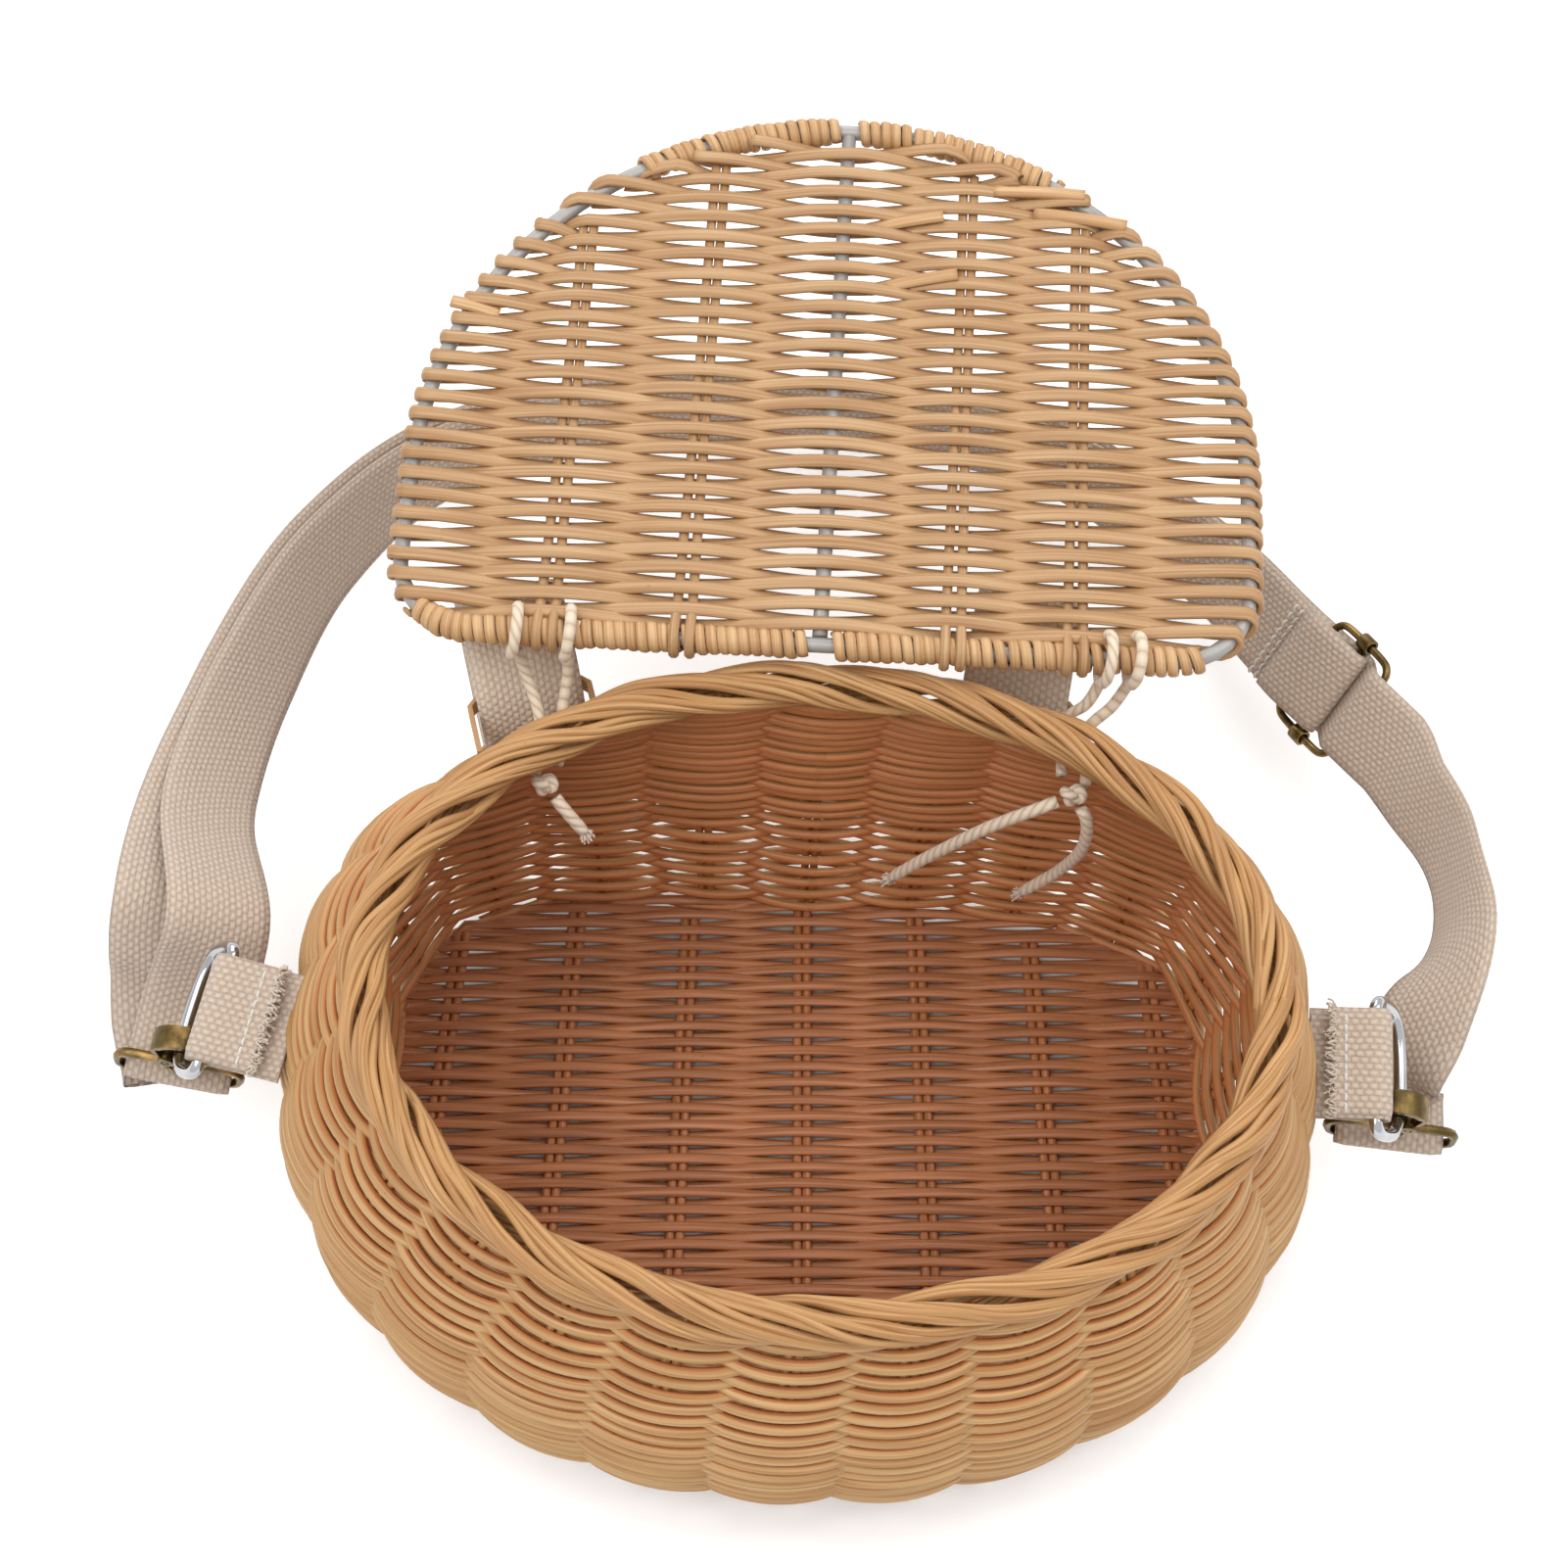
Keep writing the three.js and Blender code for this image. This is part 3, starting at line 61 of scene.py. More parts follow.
class Body(Enum):
    """Moving bodies that a piece can ride on."""

    BASKET = "basket"
    LID = "lid"
    LEFT_RING = "left_ring_body"
    RIGHT_RING = "right_ring_body"
    LEFT_HOOK = "left_hook_body"
    RIGHT_HOOK = "right_hook_body"
    LEFT_GATE = "left_gate_body"
    RIGHT_GATE = "right_gate_body"


class Slot(Enum):
    """Material slots."""

    WICKER = "wicker"
    CANE = "cane"
    WIRE = "frame_wire"
    CORD = "cord"
    WEBBING = "webbing"
    PILE = "fastener_pile"
    RING = "bright_ring"
    BRASS = "antique_brass"


class Side(Enum):
    """Left and right of the viewer, with the sign of X."""

    LEFT = -1
    RIGHT = 1

    @property
    def word(self) -> str:
        """Name used in node names."""
        return self.name.lower()


class Lay(Enum):
    """How a swept section is kept from turning."""

    UPRIGHT = "Z_UP"
    EVEN = "MINIMUM_TWIST"


def vec(x: float, y: float, z: float) -> Array:
    """A point or direction as an array."""
    return np.array((x, y, z), dtype=float)


def fixed(x: float, y: float, z: float) -> Array:
    """A dataclass field that holds a point or direction."""
    return field(default_factory=lambda: vec(x, y, z))


def unit(v: Array) -> Array:
    """The vector or vectors at length one."""
    return v / np.linalg.norm(v, axis=-1, keepdims=True)


def square_to(v: Array, along: Array) -> Array:
    """The vectors turned square to the ways along, at length one."""
    return unit(v - along * np.sum(v * along, axis=-1, keepdims=True))


def run_along(points: Array) -> Array:
    """Run from the first point of a path to each of its points."""
    return np.concatenate([[0.0], np.cumsum(np.linalg.norm(np.diff(points, axis=0), axis=1))])


def wave(knots: Sequence[tuple[float, float]], at: Array) -> Array:
    """Heights of a cane that swings from knot to knot.

    Args:
        knots: places along the row, each with the cane's height there.
        at: places asked for.
    Returns:
        One height for each place.
    """
    where, high = np.array(knots).T
    place = np.clip(np.searchsorted(where, at, side="right") - 1, 0, len(where) - 2)
    t = (at - where[place]) / (where[place + 1] - where[place])
    return high[place] + (high[place + 1] - high[place]) * (1 - np.cos(np.pi * t)) / 2


def mix(a: float, b: float, t: float) -> float:
    """Straight blend from a to b."""
    return a + (b - a) * t


def ease(low: float, high: float, x: float) -> float:
    """Smooth step from 0 at low to 1 at high."""
    t = min(1.0, max(0.0, (x - low) / (high - low)))
    return t * t * (3 - 2 * t)


def linear(*display: int) -> Colour:
    """A display colour of 0 to 255 as the linear colour that a shader takes."""
    return tuple(c / 12.92 if c <= 0.04045 else ((c + 0.055) / 1.055) ** 2.4 for c in (v / 255 for v in display))


class Nodes:
    """Short way to lay out a node tree."""

    def __init__(self, tree: bpy.types.NodeTree) -> None:
        """Keeps the tree that nodes go into."""
        self.tree = tree

    def fill(self, node: bpy.types.Node, **inputs: object) -> bpy.types.Node:
        """Fills or links inputs of a node.

        Args:
            node: the node.
            inputs: socket names with _ for a space, or i0, i1 for a place in the list;
                a value is a constant or another node's output socket.
        Returns:
            The same node.
        """
        for key, value in inputs.items():
            place = key[1:]
            socket = node.inputs[int(place) if key[0] == "i" and place.isdigit() else key.replace("_", " ")]
            if isinstance(value, Socket):
                self.tree.links.new(value, socket)
            else:
                socket.default_value = value
        return node

    def add(self, kind: str, props: dict | None = None, **inputs: object) -> bpy.types.Node:
        """Adds a node.

        Args:
            kind: Blender's name of the node type.
            props: properties of the node itself.
            inputs: inputs as fill takes them.
        Returns:
            The new node.
        """
        node = self.tree.nodes.new(kind)
        for key, value in (props or {}).items():
            setattr(node, key, value)
        return self.fill(node, **inputs)

    def math(self, operation: str, a: object, b: object = 0.0) -> Socket:
        """Output of a Math node."""
        return self.add("ShaderNodeMath", {"operation": operation}, i0=a, i1=b).outputs[0]

    def weighed(self, a: object, of_a: float, b: object, of_b: float) -> Socket:
        """Sum of two values by their weights."""
        return self.math("ADD", self.math("MULTIPLY", a, of_a), self.math("MULTIPLY", b, of_b))

    def vector(self, operation: str, *parts: object) -> bpy.types.Node:
        """A Vector Math node."""
        return self.add("ShaderNodeVectorMath", {"operation": operation}, **{f"i{k}": p for k, p in enumerate(parts)})

    def noise(self, place: object, scale: object, detail: float) -> bpy.types.Node:
        """A Noise Texture node."""
        return self.add("ShaderNodeTexNoise", None, Vector=place, Scale=scale, Detail=detail)

    def blend(self, factor: object, a: object, b: object) -> Socket:
        """Output of a colour Mix node."""
        return self.add("ShaderNodeMix", {"data_type": "RGBA"}, i0=factor, i6=a, i7=b).outputs[2]

    def range(self, value: object, low: float, high: float, to_low: float = 0.0, to_high: float = 1.0) -> Socket:
        """Output of a clamped Map Range node."""
        return self.add("ShaderNodeMapRange", None, i0=value, i1=low, i2=high, i3=to_low, i4=to_high).outputs[0]

    def bump(self, strength: float, distance: float, height: object) -> Socket:
        """Normal of a Bump node."""
        return self.add("ShaderNodeBump", None, Strength=strength, Distance=distance, Height=height).outputs[0]

    def seen(self) -> Socket:
        """Tells camera, transmission and glossy rays, which show a background.

        Returns:
            1 for them and 0 for others.
        """
        path = self.add("ShaderNodeLightPath").outputs
        seen = self.math("MAXIMUM", path["Is Camera Ray"], path["Is Transmission Ray"])
        return self.math("MAXIMUM", seen, path["Is Glossy Ray"])


def rgba(colour: Colour, part: float = 1.0) -> tuple[float, ...]:
    """The colour, or a darker part of it, with full alpha."""
    return (*(c * part for c in colour), 1.0)


def shader_group(name: str, ins: dict[str, str], outs: Sequence[str]) -> tuple[Nodes, Sequence[Socket], bpy.types.Node]:
    """Starts a shader node group.

    Args:
        name: name of the group.
        ins: input names and the ends of their socket types.
        outs: names of the outputs, which are values.
    Returns:
        The layout helper, the group's inputs and its output node.
    """
    tree = bpy.data.node_groups.new(name, "ShaderNodeTree")
    for word, kind in ins.items():
        tree.interface.new_socket(word, in_out="INPUT", socket_type="NodeSocket" + kind)
    for word in outs:
        tree.interface.new_socket(word, in_out="OUTPUT", socket_type="NodeSocketFloat")
    n = Nodes(tree)
    return n, n.add("NodeGroupInput").outputs, n.add("NodeGroupOutput")


def fibre_group() -> bpy.types.NodeTree:
    """Long fibres and slow blotches that follow a cane's own run.

    Returns:
        A group with the outputs Fibre, Blotch and Speck.
    """
    n, given, end = shader_group("cane_fibre", {"Grain": "Vector"}, ("Fibre", "Blotch", "Speck"))
    looks = {"Fibre": ((0.025, 2.1, 2.1), 3.0), "Blotch": ((0.022, 0.12, 0.12), 2.0), "Speck": ((0.5, 1.6, 1.6), 1.0)}
    for word, (stretch, detail) in looks.items():
        moved = n.vector("MULTIPLY", given[0], stretch)
        n.fill(end, **{word: n.noise(moved.outputs[0], 1.0, detail).outputs[0]})
    return n.tree


def thread_group() -> bpy.types.NodeTree:
    """Plain weave of thick threads over a cloth's own UV map, in millimetres.

    Returns:
        A group with the outputs Height, Cross and Fleck.
    """
    n, (uv, warp, weft, _), end = shader_group(
        "thick_thread_weave", {"UV": "Vector", "Warp": "Float", "Weft": "Float"}, ("Height", "Cross", "Fleck"))
    wobble = n.noise(uv, 0.35, 1.0)
    shifted = n.vector("MULTIPLY_ADD", wobble.outputs[1], (0.5, 0.5, 0.0), uv)
    parts = n.add("ShaderNodeSeparateXYZ", None, i0=shifted.outputs[0])
    along = n.math("DIVIDE", parts.outputs[0], warp)
    across = n.math("DIVIDE", parts.outputs[1], weft)
    odd = n.math("MULTIPLY", n.math("PINGPONG", n.math("FLOOR", across), 1.0), 0.5)
    cell = n.math("FRACT", n.math("ADD", along, odd))
    lift = n.math("SINE", n.math("MULTIPLY", cell, math.pi))
    edge = n.math("SINE", n.math("MULTIPLY", n.math("FRACT", across), math.pi))
    height = n.math("MULTIPLY", lift, n.math("POWER", edge, 0.8))
    n.fill(end, Height=height, Cross=edge, Fleck=n.noise(uv, 1.1, 1.0).outputs[0])
    return n.tree


def wear_group() -> bpy.types.NodeTree:
    """Patchy wear over a metal, on Object coordinates in metres.

    Returns:
        A group with the outputs Patch and Fine.
    """
    n, (place, scale, _), end = shader_group("metal_wear", {"Place": "Vector", "Scale": "Float"}, ("Patch", "Fine"))
    patch = n.noise(place, scale, 4.0)
    fine = n.noise(place, n.math("MULTIPLY", scale, 7.0), 2.0)
    n.fill(end, Patch=patch.outputs[0], Fine=fine.outputs[0])
    return n.tree


class Effects:
    """Shader groups that several finishes share, each built once."""

    made: dict[str, bpy.types.NodeTree] = {}

    @classmethod
    def add(cls, n: Nodes, maker: Callable[[], bpy.types.NodeTree], **inputs: object) -> Sequence[Socket]:
        """Puts a group into a material.

        Args:
            n: layout helper of the material.
            maker: function that makes the group.
            inputs: the group's inputs.
        Returns:
            The group's outputs.
        """
        if maker.__name__ not in cls.made:
            cls.made[maker.__name__] = maker()
        return n.add("ShaderNodeGroup", {"node_tree": cls.made[maker.__name__]}, **inputs).outputs


def new_material(name: str) -> tuple[Material, Nodes, bpy.types.Node]:
    """A new material.

    Args:
        name: its name.
    Returns:
        The material, its layout helper and its Principled shader.
    """
    material = bpy.data.materials.new(name)
    material.use_nodes = True
    return material, Nodes(material.node_tree), material.node_tree.nodes["Principled BSDF"]


@dataclass(frozen=True)
class CaneFinish:
    """Varnished rattan cane with fibres along its run; the wall's copy also has painted shade on the faces that look
    into the basket.
    """

    name: str
    light: Colour
    dark: Colour
    inner: Colour | None = None
    roughness: float = 0.5
    bump: float = 0.35

    def make(self) -> Material:
        """Builds the material.

        Returns:
            The material.
        """
        material, n, shader = new_material(self.name)
        grain = n.add("ShaderNodeAttribute", {"attribute_name": "grain"})
        fibre, blotch, specks = Effects.add(n, fibre_group, Grain=grain.outputs[1])
        tone = n.weighed(fibre, 0.85, blotch, 0.5)
        colour = n.blend(n.range(tone, 0.5, 0.86), rgba(self.light), rgba(self.dark))
        # faces that look into the basket get a painted shade colour
        if self.inner is not None:
            colour = self.browner(n, colour, tone)
        speck = n.range(specks, 0.76, 0.82, 0.0, 0.5)
        n.fill(shader, Base_Color=n.blend(speck, colour, rgba(self.dark, 0.45)),
               Roughness=n.range(fibre, 0.3, 0.7, self.roughness - 0.1, self.roughness + 0.12),
               Normal=n.bump(self.bump, 0.0004, fibre))
        return material

    def browner(self, n: Nodes, colour: Socket, tone: Socket) -> Socket:
        """Paints shade on the faces that look into the basket, turning them browner and darker.

        Args:
            n: layout helper of the material.
            colour: outside colour.
            tone: light and dark along the cane.
        Returns:
            The mixed colour.
        """
        place = n.add("ShaderNodeTexCoord").outputs
        centred = n.vector("MULTIPLY_ADD", place["Object"], (1.0, 1.3, 0.0), (0.003, -0.009, 0.0))
        way = n.vector("NORMALIZE", centred.outputs[0])
        facing = n.vector("DOT_PRODUCT", way.outputs[0], place["Normal"])
        # painted shade: full on faces that turn into the basket, none on faces that turn out
        inside_shade_mask = n.range(facing.outputs["Value"], -0.35, 0.3, 1.0, 0.0)
        inside_shade_tones = n.blend(n.range(tone, 0.42, 0.9), rgba(self.inner), rgba(self.inner, 0.62))
        return n.blend(inside_shade_mask, colour, inside_shade_tones)


@dataclass(frozen=True)
class ClothFinish:
    """Natural cotton webbing, or its fastener pile, with thick threads, dark flecks and painted shade between the
    threads.
    """

    name: str
    light: Colour
    dark: Colour
    warp: float = 2.1
    weft: float = 0.95
    bump: float = 0.8
    fleck: float = 0.75

    def make(self) -> Material:
        """Builds the material.

        Returns:
            The material.
        """
        material, n, shader = new_material(self.name)
        uv = n.add("ShaderNodeUVMap", {"uv_map": "UVMap"}).outputs[0]
        height, _, flecks = Effects.add(n, thread_group, UV=uv, Warp=self.warp, Weft=self.weft)
        # darker where the threads sink: painted shade between the threads, mixed with random tone
        shade = n.weighed(height, 0.6, n.noise(uv, 1.9, 5.0).outputs[0], 0.6)
        colour = n.blend(n.range(shade, 0.15, 0.95, 1.0, 0.0), rgba(self.light), rgba(self.dark))
        fleck = n.range(flecks, self.fleck, self.fleck + 0.04, 0.0, 0.55)
        n.fill(shader, Base_Color=n.blend(fleck, colour, rgba(linear(96, 72, 54))), Roughness=0.92, Sheen_Weight=0.25,
               Specular_IOR_Level=0.2, Normal=n.bump(self.bump, 0.0006, shade))
        return material


@dataclass(frozen=True)
class CordFinish:
    """Twisted cotton cord, its plies running round it, with painted shade between the plies."""

    name: str
    light: Colour
    dark: Colour
    plies: int = 3
    pitch: float = 9.0

    def make(self) -> Material:
        """Builds the material.

        Returns:
            The material.
        """
        material, n, shader = new_material(self.name)
        grain = n.add("ShaderNodeAttribute", {"attribute_name": "grain"}).outputs[1]
        parts = n.add("ShaderNodeSeparateXYZ", None, i0=grain).outputs
        turn = n.math("ARCTAN2", parts[2], parts[1])
        run = n.math("MULTIPLY", parts[0], 2 * math.pi / self.pitch)
        lay = n.math("SINE", n.math("MULTIPLY", n.math("ADD", turn, run), self.plies * 0.5))
        ply = n.math("POWER", n.math("ABSOLUTE", lay), 0.7)
        # darker between the plies: painted shade in the twist's grooves, mixed with random tone
        shade = n.weighed(ply, 0.8, n.noise(grain, 2.4, 3.0).outputs[0], 0.4)
        colour = n.blend(n.range(shade, 0.2, 1.0, 1.0, 0.0), rgba(self.light), rgba(self.dark))
        n.fill(shader, Base_Color=colour, Roughness=0.95, Sheen_Weight=0.3, Normal=n.bump(0.6, 0.0006, shade))
        return material


@dataclass(frozen=True)
class MetalFinish:
    """Plated, darkened or coated metal with patchy wear."""

    name: str
    base: Colour
    worn: Colour
    metallic: float = 1.0
    roughness: float = 0.3
    scale: float = 220.0
    bump: float = 0.1

    def make(self) -> Material:
        """Builds the material.

        Returns:
            The material.
        """
        material, n, shader = new_material(self.name)
        place = n.add("ShaderNodeTexCoord").outputs["Object"]
        patch, fine = Effects.add(n, wear_group, Place=place, Scale=self.scale)
        colour = n.blend(n.range(patch, 0.45, 0.68), rgba(self.base), rgba(self.worn))
        rough = n.range(fine, 0.3, 0.7, self.roughness * 0.75, self.roughness * 1.3)
        n.fill(shader, Base_Color=colour, Roughness=rough, Metallic=self.metallic,
               Normal=n.bump(self.bump, 0.0002, fine))
        return material


class Finishes:
    """Every finish of the basket, made once."""

    def __init__(self) -> None:
        """Builds the materials."""
        cloth = {"warp": 2.05, "weft": 1.45}
        # the wall's inside colour is painted shade for the faces that look into the basket
        self.wall = CaneFinish("wall_cane", linear(205, 165, 111), linear(168, 119, 67),
                               inner=linear(212, 136, 80)).make()
        self.rim = CaneFinish("rim_cane", linear(196, 152, 98), linear(156, 106, 58)).make()
        # the floor's cane is darker and browner than the wall's: painted shade of the basket's inside
        self.base = CaneFinish("base_cane_painted_shade", linear(190, 124, 79), linear(142, 86, 49)).make()
        self.lid = CaneFinish("lid_cane", linear(192, 155, 112), linear(157, 114, 72)).make()
        self.lashing = CaneFinish("lashing_cane", linear(208, 170, 123), linear(172, 127, 82), bump=0.5).make()
        self.webbing = ClothFinish("cotton_webbing", linear(213, 196, 180), linear(175, 154, 136), **cloth).make()
        # lighter copy of the webbing: painted light on the bar loops, which lie in the lid's shade
        self.pale_webbing = ClothFinish("cotton_webbing_painted_light", linear(240, 225, 207), linear(208, 188, 167),
                                        **cloth).make()
        self.pile = ClothFinish("fastener_pile", linear(222, 214, 218), linear(170, 158, 164), warp=1.2, weft=0.7,
                                bump=1.0, fleck=0.9).make()
        self.cord = CordFinish("twisted_cotton", linear(230, 212, 188), linear(198, 174, 146)).make()
        self.fluff = CordFinish("loose_thread", linear(238, 224, 206), linear(206, 188, 166), pitch=2.0).make()
        self.thread = CordFinish("sewing_thread", linear(246, 242, 234), linear(214, 206, 196), pitch=1.6).make()
        self.wire = MetalFinish("coated_wire", linear(164, 160, 156), linear(146, 141, 136), metallic=0.15,
                                roughness=0.38, scale=90.0).make()
        self.chrome = MetalFinish("bright_plate", linear(180, 181, 184), linear(148, 148, 150), roughness=0.12,
                                  scale=60.0, bump=0.03).make()
        self.brass = MetalFinish("antique_brass", linear(92, 76, 46), linear(140, 114, 70), roughness=0.33).make()


def ride(piece: Piece, body: Body, slot: Slot, *nodes: str) -> None:
    """Puts a finished piece on its body and in place of its solids.

    Args:
        piece: the finished object.
        body: body that it moves with.
        slot: material slot; not used.
        nodes: CAD nodes that it stands for.
    """
    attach(piece, body.value)
    if nodes:
        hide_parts(*nodes)
    LOG.info("%s: %d faces on %s", piece.name, len(piece.data.polygons), body.value)


def linked(name: str, data: bpy.types.ID) -> Piece:
    """Puts new data into the scene.

    Args:
        name: name of the object.
        data: its mesh, curve, camera or lamp.
    Returns:
        The new object.
    """
    piece = bpy.data.objects.new(name, data)
    bpy.context.scene.collection.objects.link(piece)
    return piece


def shade_smooth(mesh: bpy.types.Mesh) -> None:
    """Shades every face smoothly."""
    mesh.polygons.foreach_set("use_smooth", np.ones(len(mesh.polygons), dtype=bool))


def mesh_object(name: str, mesh: bpy.types.Mesh, material: Material) -> Piece:
    """Puts a mesh into the scene with its finish, smoothly shaded.

    Args:
        name: name of the piece.
        mesh: its mesh.
        material: its finish.
    Returns:
        The object.
    """
    mesh.materials.clear()
    mesh.materials.append(material)
    shade_smooth(mesh)
    return linked(name, mesh)


def evaluated(piece: Piece, name: str) -> bpy.types.Mesh:
    """Applies the modifiers of a piece.

    Args:
        piece: the piece.
        name: name of the new mesh.
    Returns:
        The new mesh.
    """
    bpy.context.view_layer.update()
    mesh = bpy.data.meshes.new_from_object(piece.evaluated_get(bpy.context.evaluated_depsgraph_get()))
    mesh.name = name
    return mesh


@dataclass
class Strand:
    """A cane, cord or strip swept along its own path, in millimetres."""

    points: Array
    side: Array
    width: float
    thickness: float
    closed: bool = False
    ring: int = 8
    taper: float = 1.0

    def rings(self) -> tuple[Array, Array]:
        """Rings of points round the path.

        Returns:
            Points (n, ring, 3) and the section (ring, 2).
        """
        p = self.points
        along = unit(np.roll(p, -1, axis=0) - np.roll(p, 1, axis=0) if self.closed else np.gradient(p, axis=0))
        side = square_to(np.broadcast_to(self.side, p.shape), along)
        through = np.cross(along, side)
        angle = 2 * np.pi * (np.arange(self.ring) + 0.5) / self.ring
        section = np.stack([np.cos(angle) * self.width / 2, np.sin(angle) * self.thickness / 2], axis=1)
        size = np.ones((len(p), 1, 1))
        size[-3:, 0, 0] = np.linspace(1.0, self.taper, 3)
        wide, deep = section[:, :1] * size, section[:, 1:] * size
        return p[:, None] + side[:, None] * wide + through[:, None] * deep, section


def skin(name: str, strands: Iterable[Strand], material: Material) -> Piece:
    """One mesh of many strands, with the attribute grain along and round each.

    Args:
        name: name of the piece.
        strands: the strands in millimetres.
        material: finish of the piece.
    Returns:
        The object, at the origin and in metres.
    """
    verts, faces, grain = [], [], []
    base = 0
    for number, strand in enumerate(strands):
        rings, section = strand.rings()
        n, k = rings.shape[:2]
        verts.append(rings.reshape(-1, 3))
        told = np.empty((n, k, 3))
        told[..., 0] = run_along(strand.points)[:, None] + GRAIN_APART[0] * number
        told[..., 1] = section[:, 0] + GRAIN_APART[1] * number
        told[..., 2] = section[:, 1]
        grain.append(told.reshape(-1, 3))
        rows, here = np.arange(n if strand.closed else n - 1), np.arange(k)
        near, far = (base + r[:, None] * k for r in (rows, (rows + 1) % n))
        after = (here + 1) % k
        faces.extend(np.stack([near + here, near + after, far + after, far + here], axis=-1).reshape(-1, 4).tolist())
        if not strand.closed:
            faces += [(base + here)[::-1].tolist(), (base + (n - 1) * k + here).tolist()]
        base += n * k
    mesh = bpy.data.meshes.new(name)
    mesh.from_pydata((np.vstack(verts) * MM).tolist(), [], faces)
    told = mesh.attributes.new("grain", "FLOAT_VECTOR", "POINT")
    told.data.foreach_set("vector", np.vstack(grain).astype(np.float32).ravel())
    return mesh_object(name, mesh, material)


@dataclass
class Ribbon:
    """Flat webbing along a path, with a UV map in millimetres."""

    points: Array
    across: Array
    width: float = 25.0
    thickness: float = 1.5
    cells: int = 10
    edge: float = 0.45
    low_face: float = 60.0

    def build(self, name: str, material: Material) -> Piece:
        """Closed mesh of the ribbon with rounded edges.

        Args:
            name: name of the piece.
            material: its finish.
        Returns:
            The object, at the origin and in metres.
        """
        along = unit(np.gradient(self.points, axis=0))
        across = square_to(np.broadcast_to(self.across, self.points.shape), along)
        flat = np.linspace(-0.5, 0.5, self.cells + 1)
        crown = np.minimum(1.0, (0.5 - np.abs(flat)) * self.width + self.edge) * self.thickness / 2
        section = np.stack([np.concatenate([flat, flat[::-1]]) * self.width,
                            np.concatenate([crown, -crown[::-1]])], axis=1)
        over = section[:, 0] + np.repeat((0.0, self.low_face), len(flat))
        k, n = len(section), len(self.points)
        up = np.cross(along, across)
        rings = self.points[:, None] + across[:, None] * section[:, :1] + up[:, None] * section[:, 1:]
        run = run_along(self.points)
        faces, uvs = [], []
        for r in range(n - 1):
            for j in range(k):
                j2 = (j + 1) % k
                faces.append((r * k + j2, r * k + j, (r + 1) * k + j, (r + 1) * k + j2))
                low, high = over[j], over[j2]
                if abs(high - low) > self.width:
                    high = low + 1.0
                uvs.extend([(run[r], high), (run[r], low), (run[r + 1], low), (run[r + 1], high)])
        for r, ring in ((0, range(k)), (n - 1, range(k - 1, -1, -1))):
            faces.append(tuple(r * k + j for j in ring))
            uvs.extend([(run[r] + section[j, 1], over[j] % self.low_face) for j in ring])
        mesh = bpy.data.meshes.new(name)
        mesh.from_pydata((rings.reshape(-1, 3) * MM).tolist(), [], faces)
        mesh.uv_layers.new(name="UVMap").data.foreach_set("uv", np.array(uvs, dtype=np.float32).ravel())
        return mesh_object(name, mesh, material)


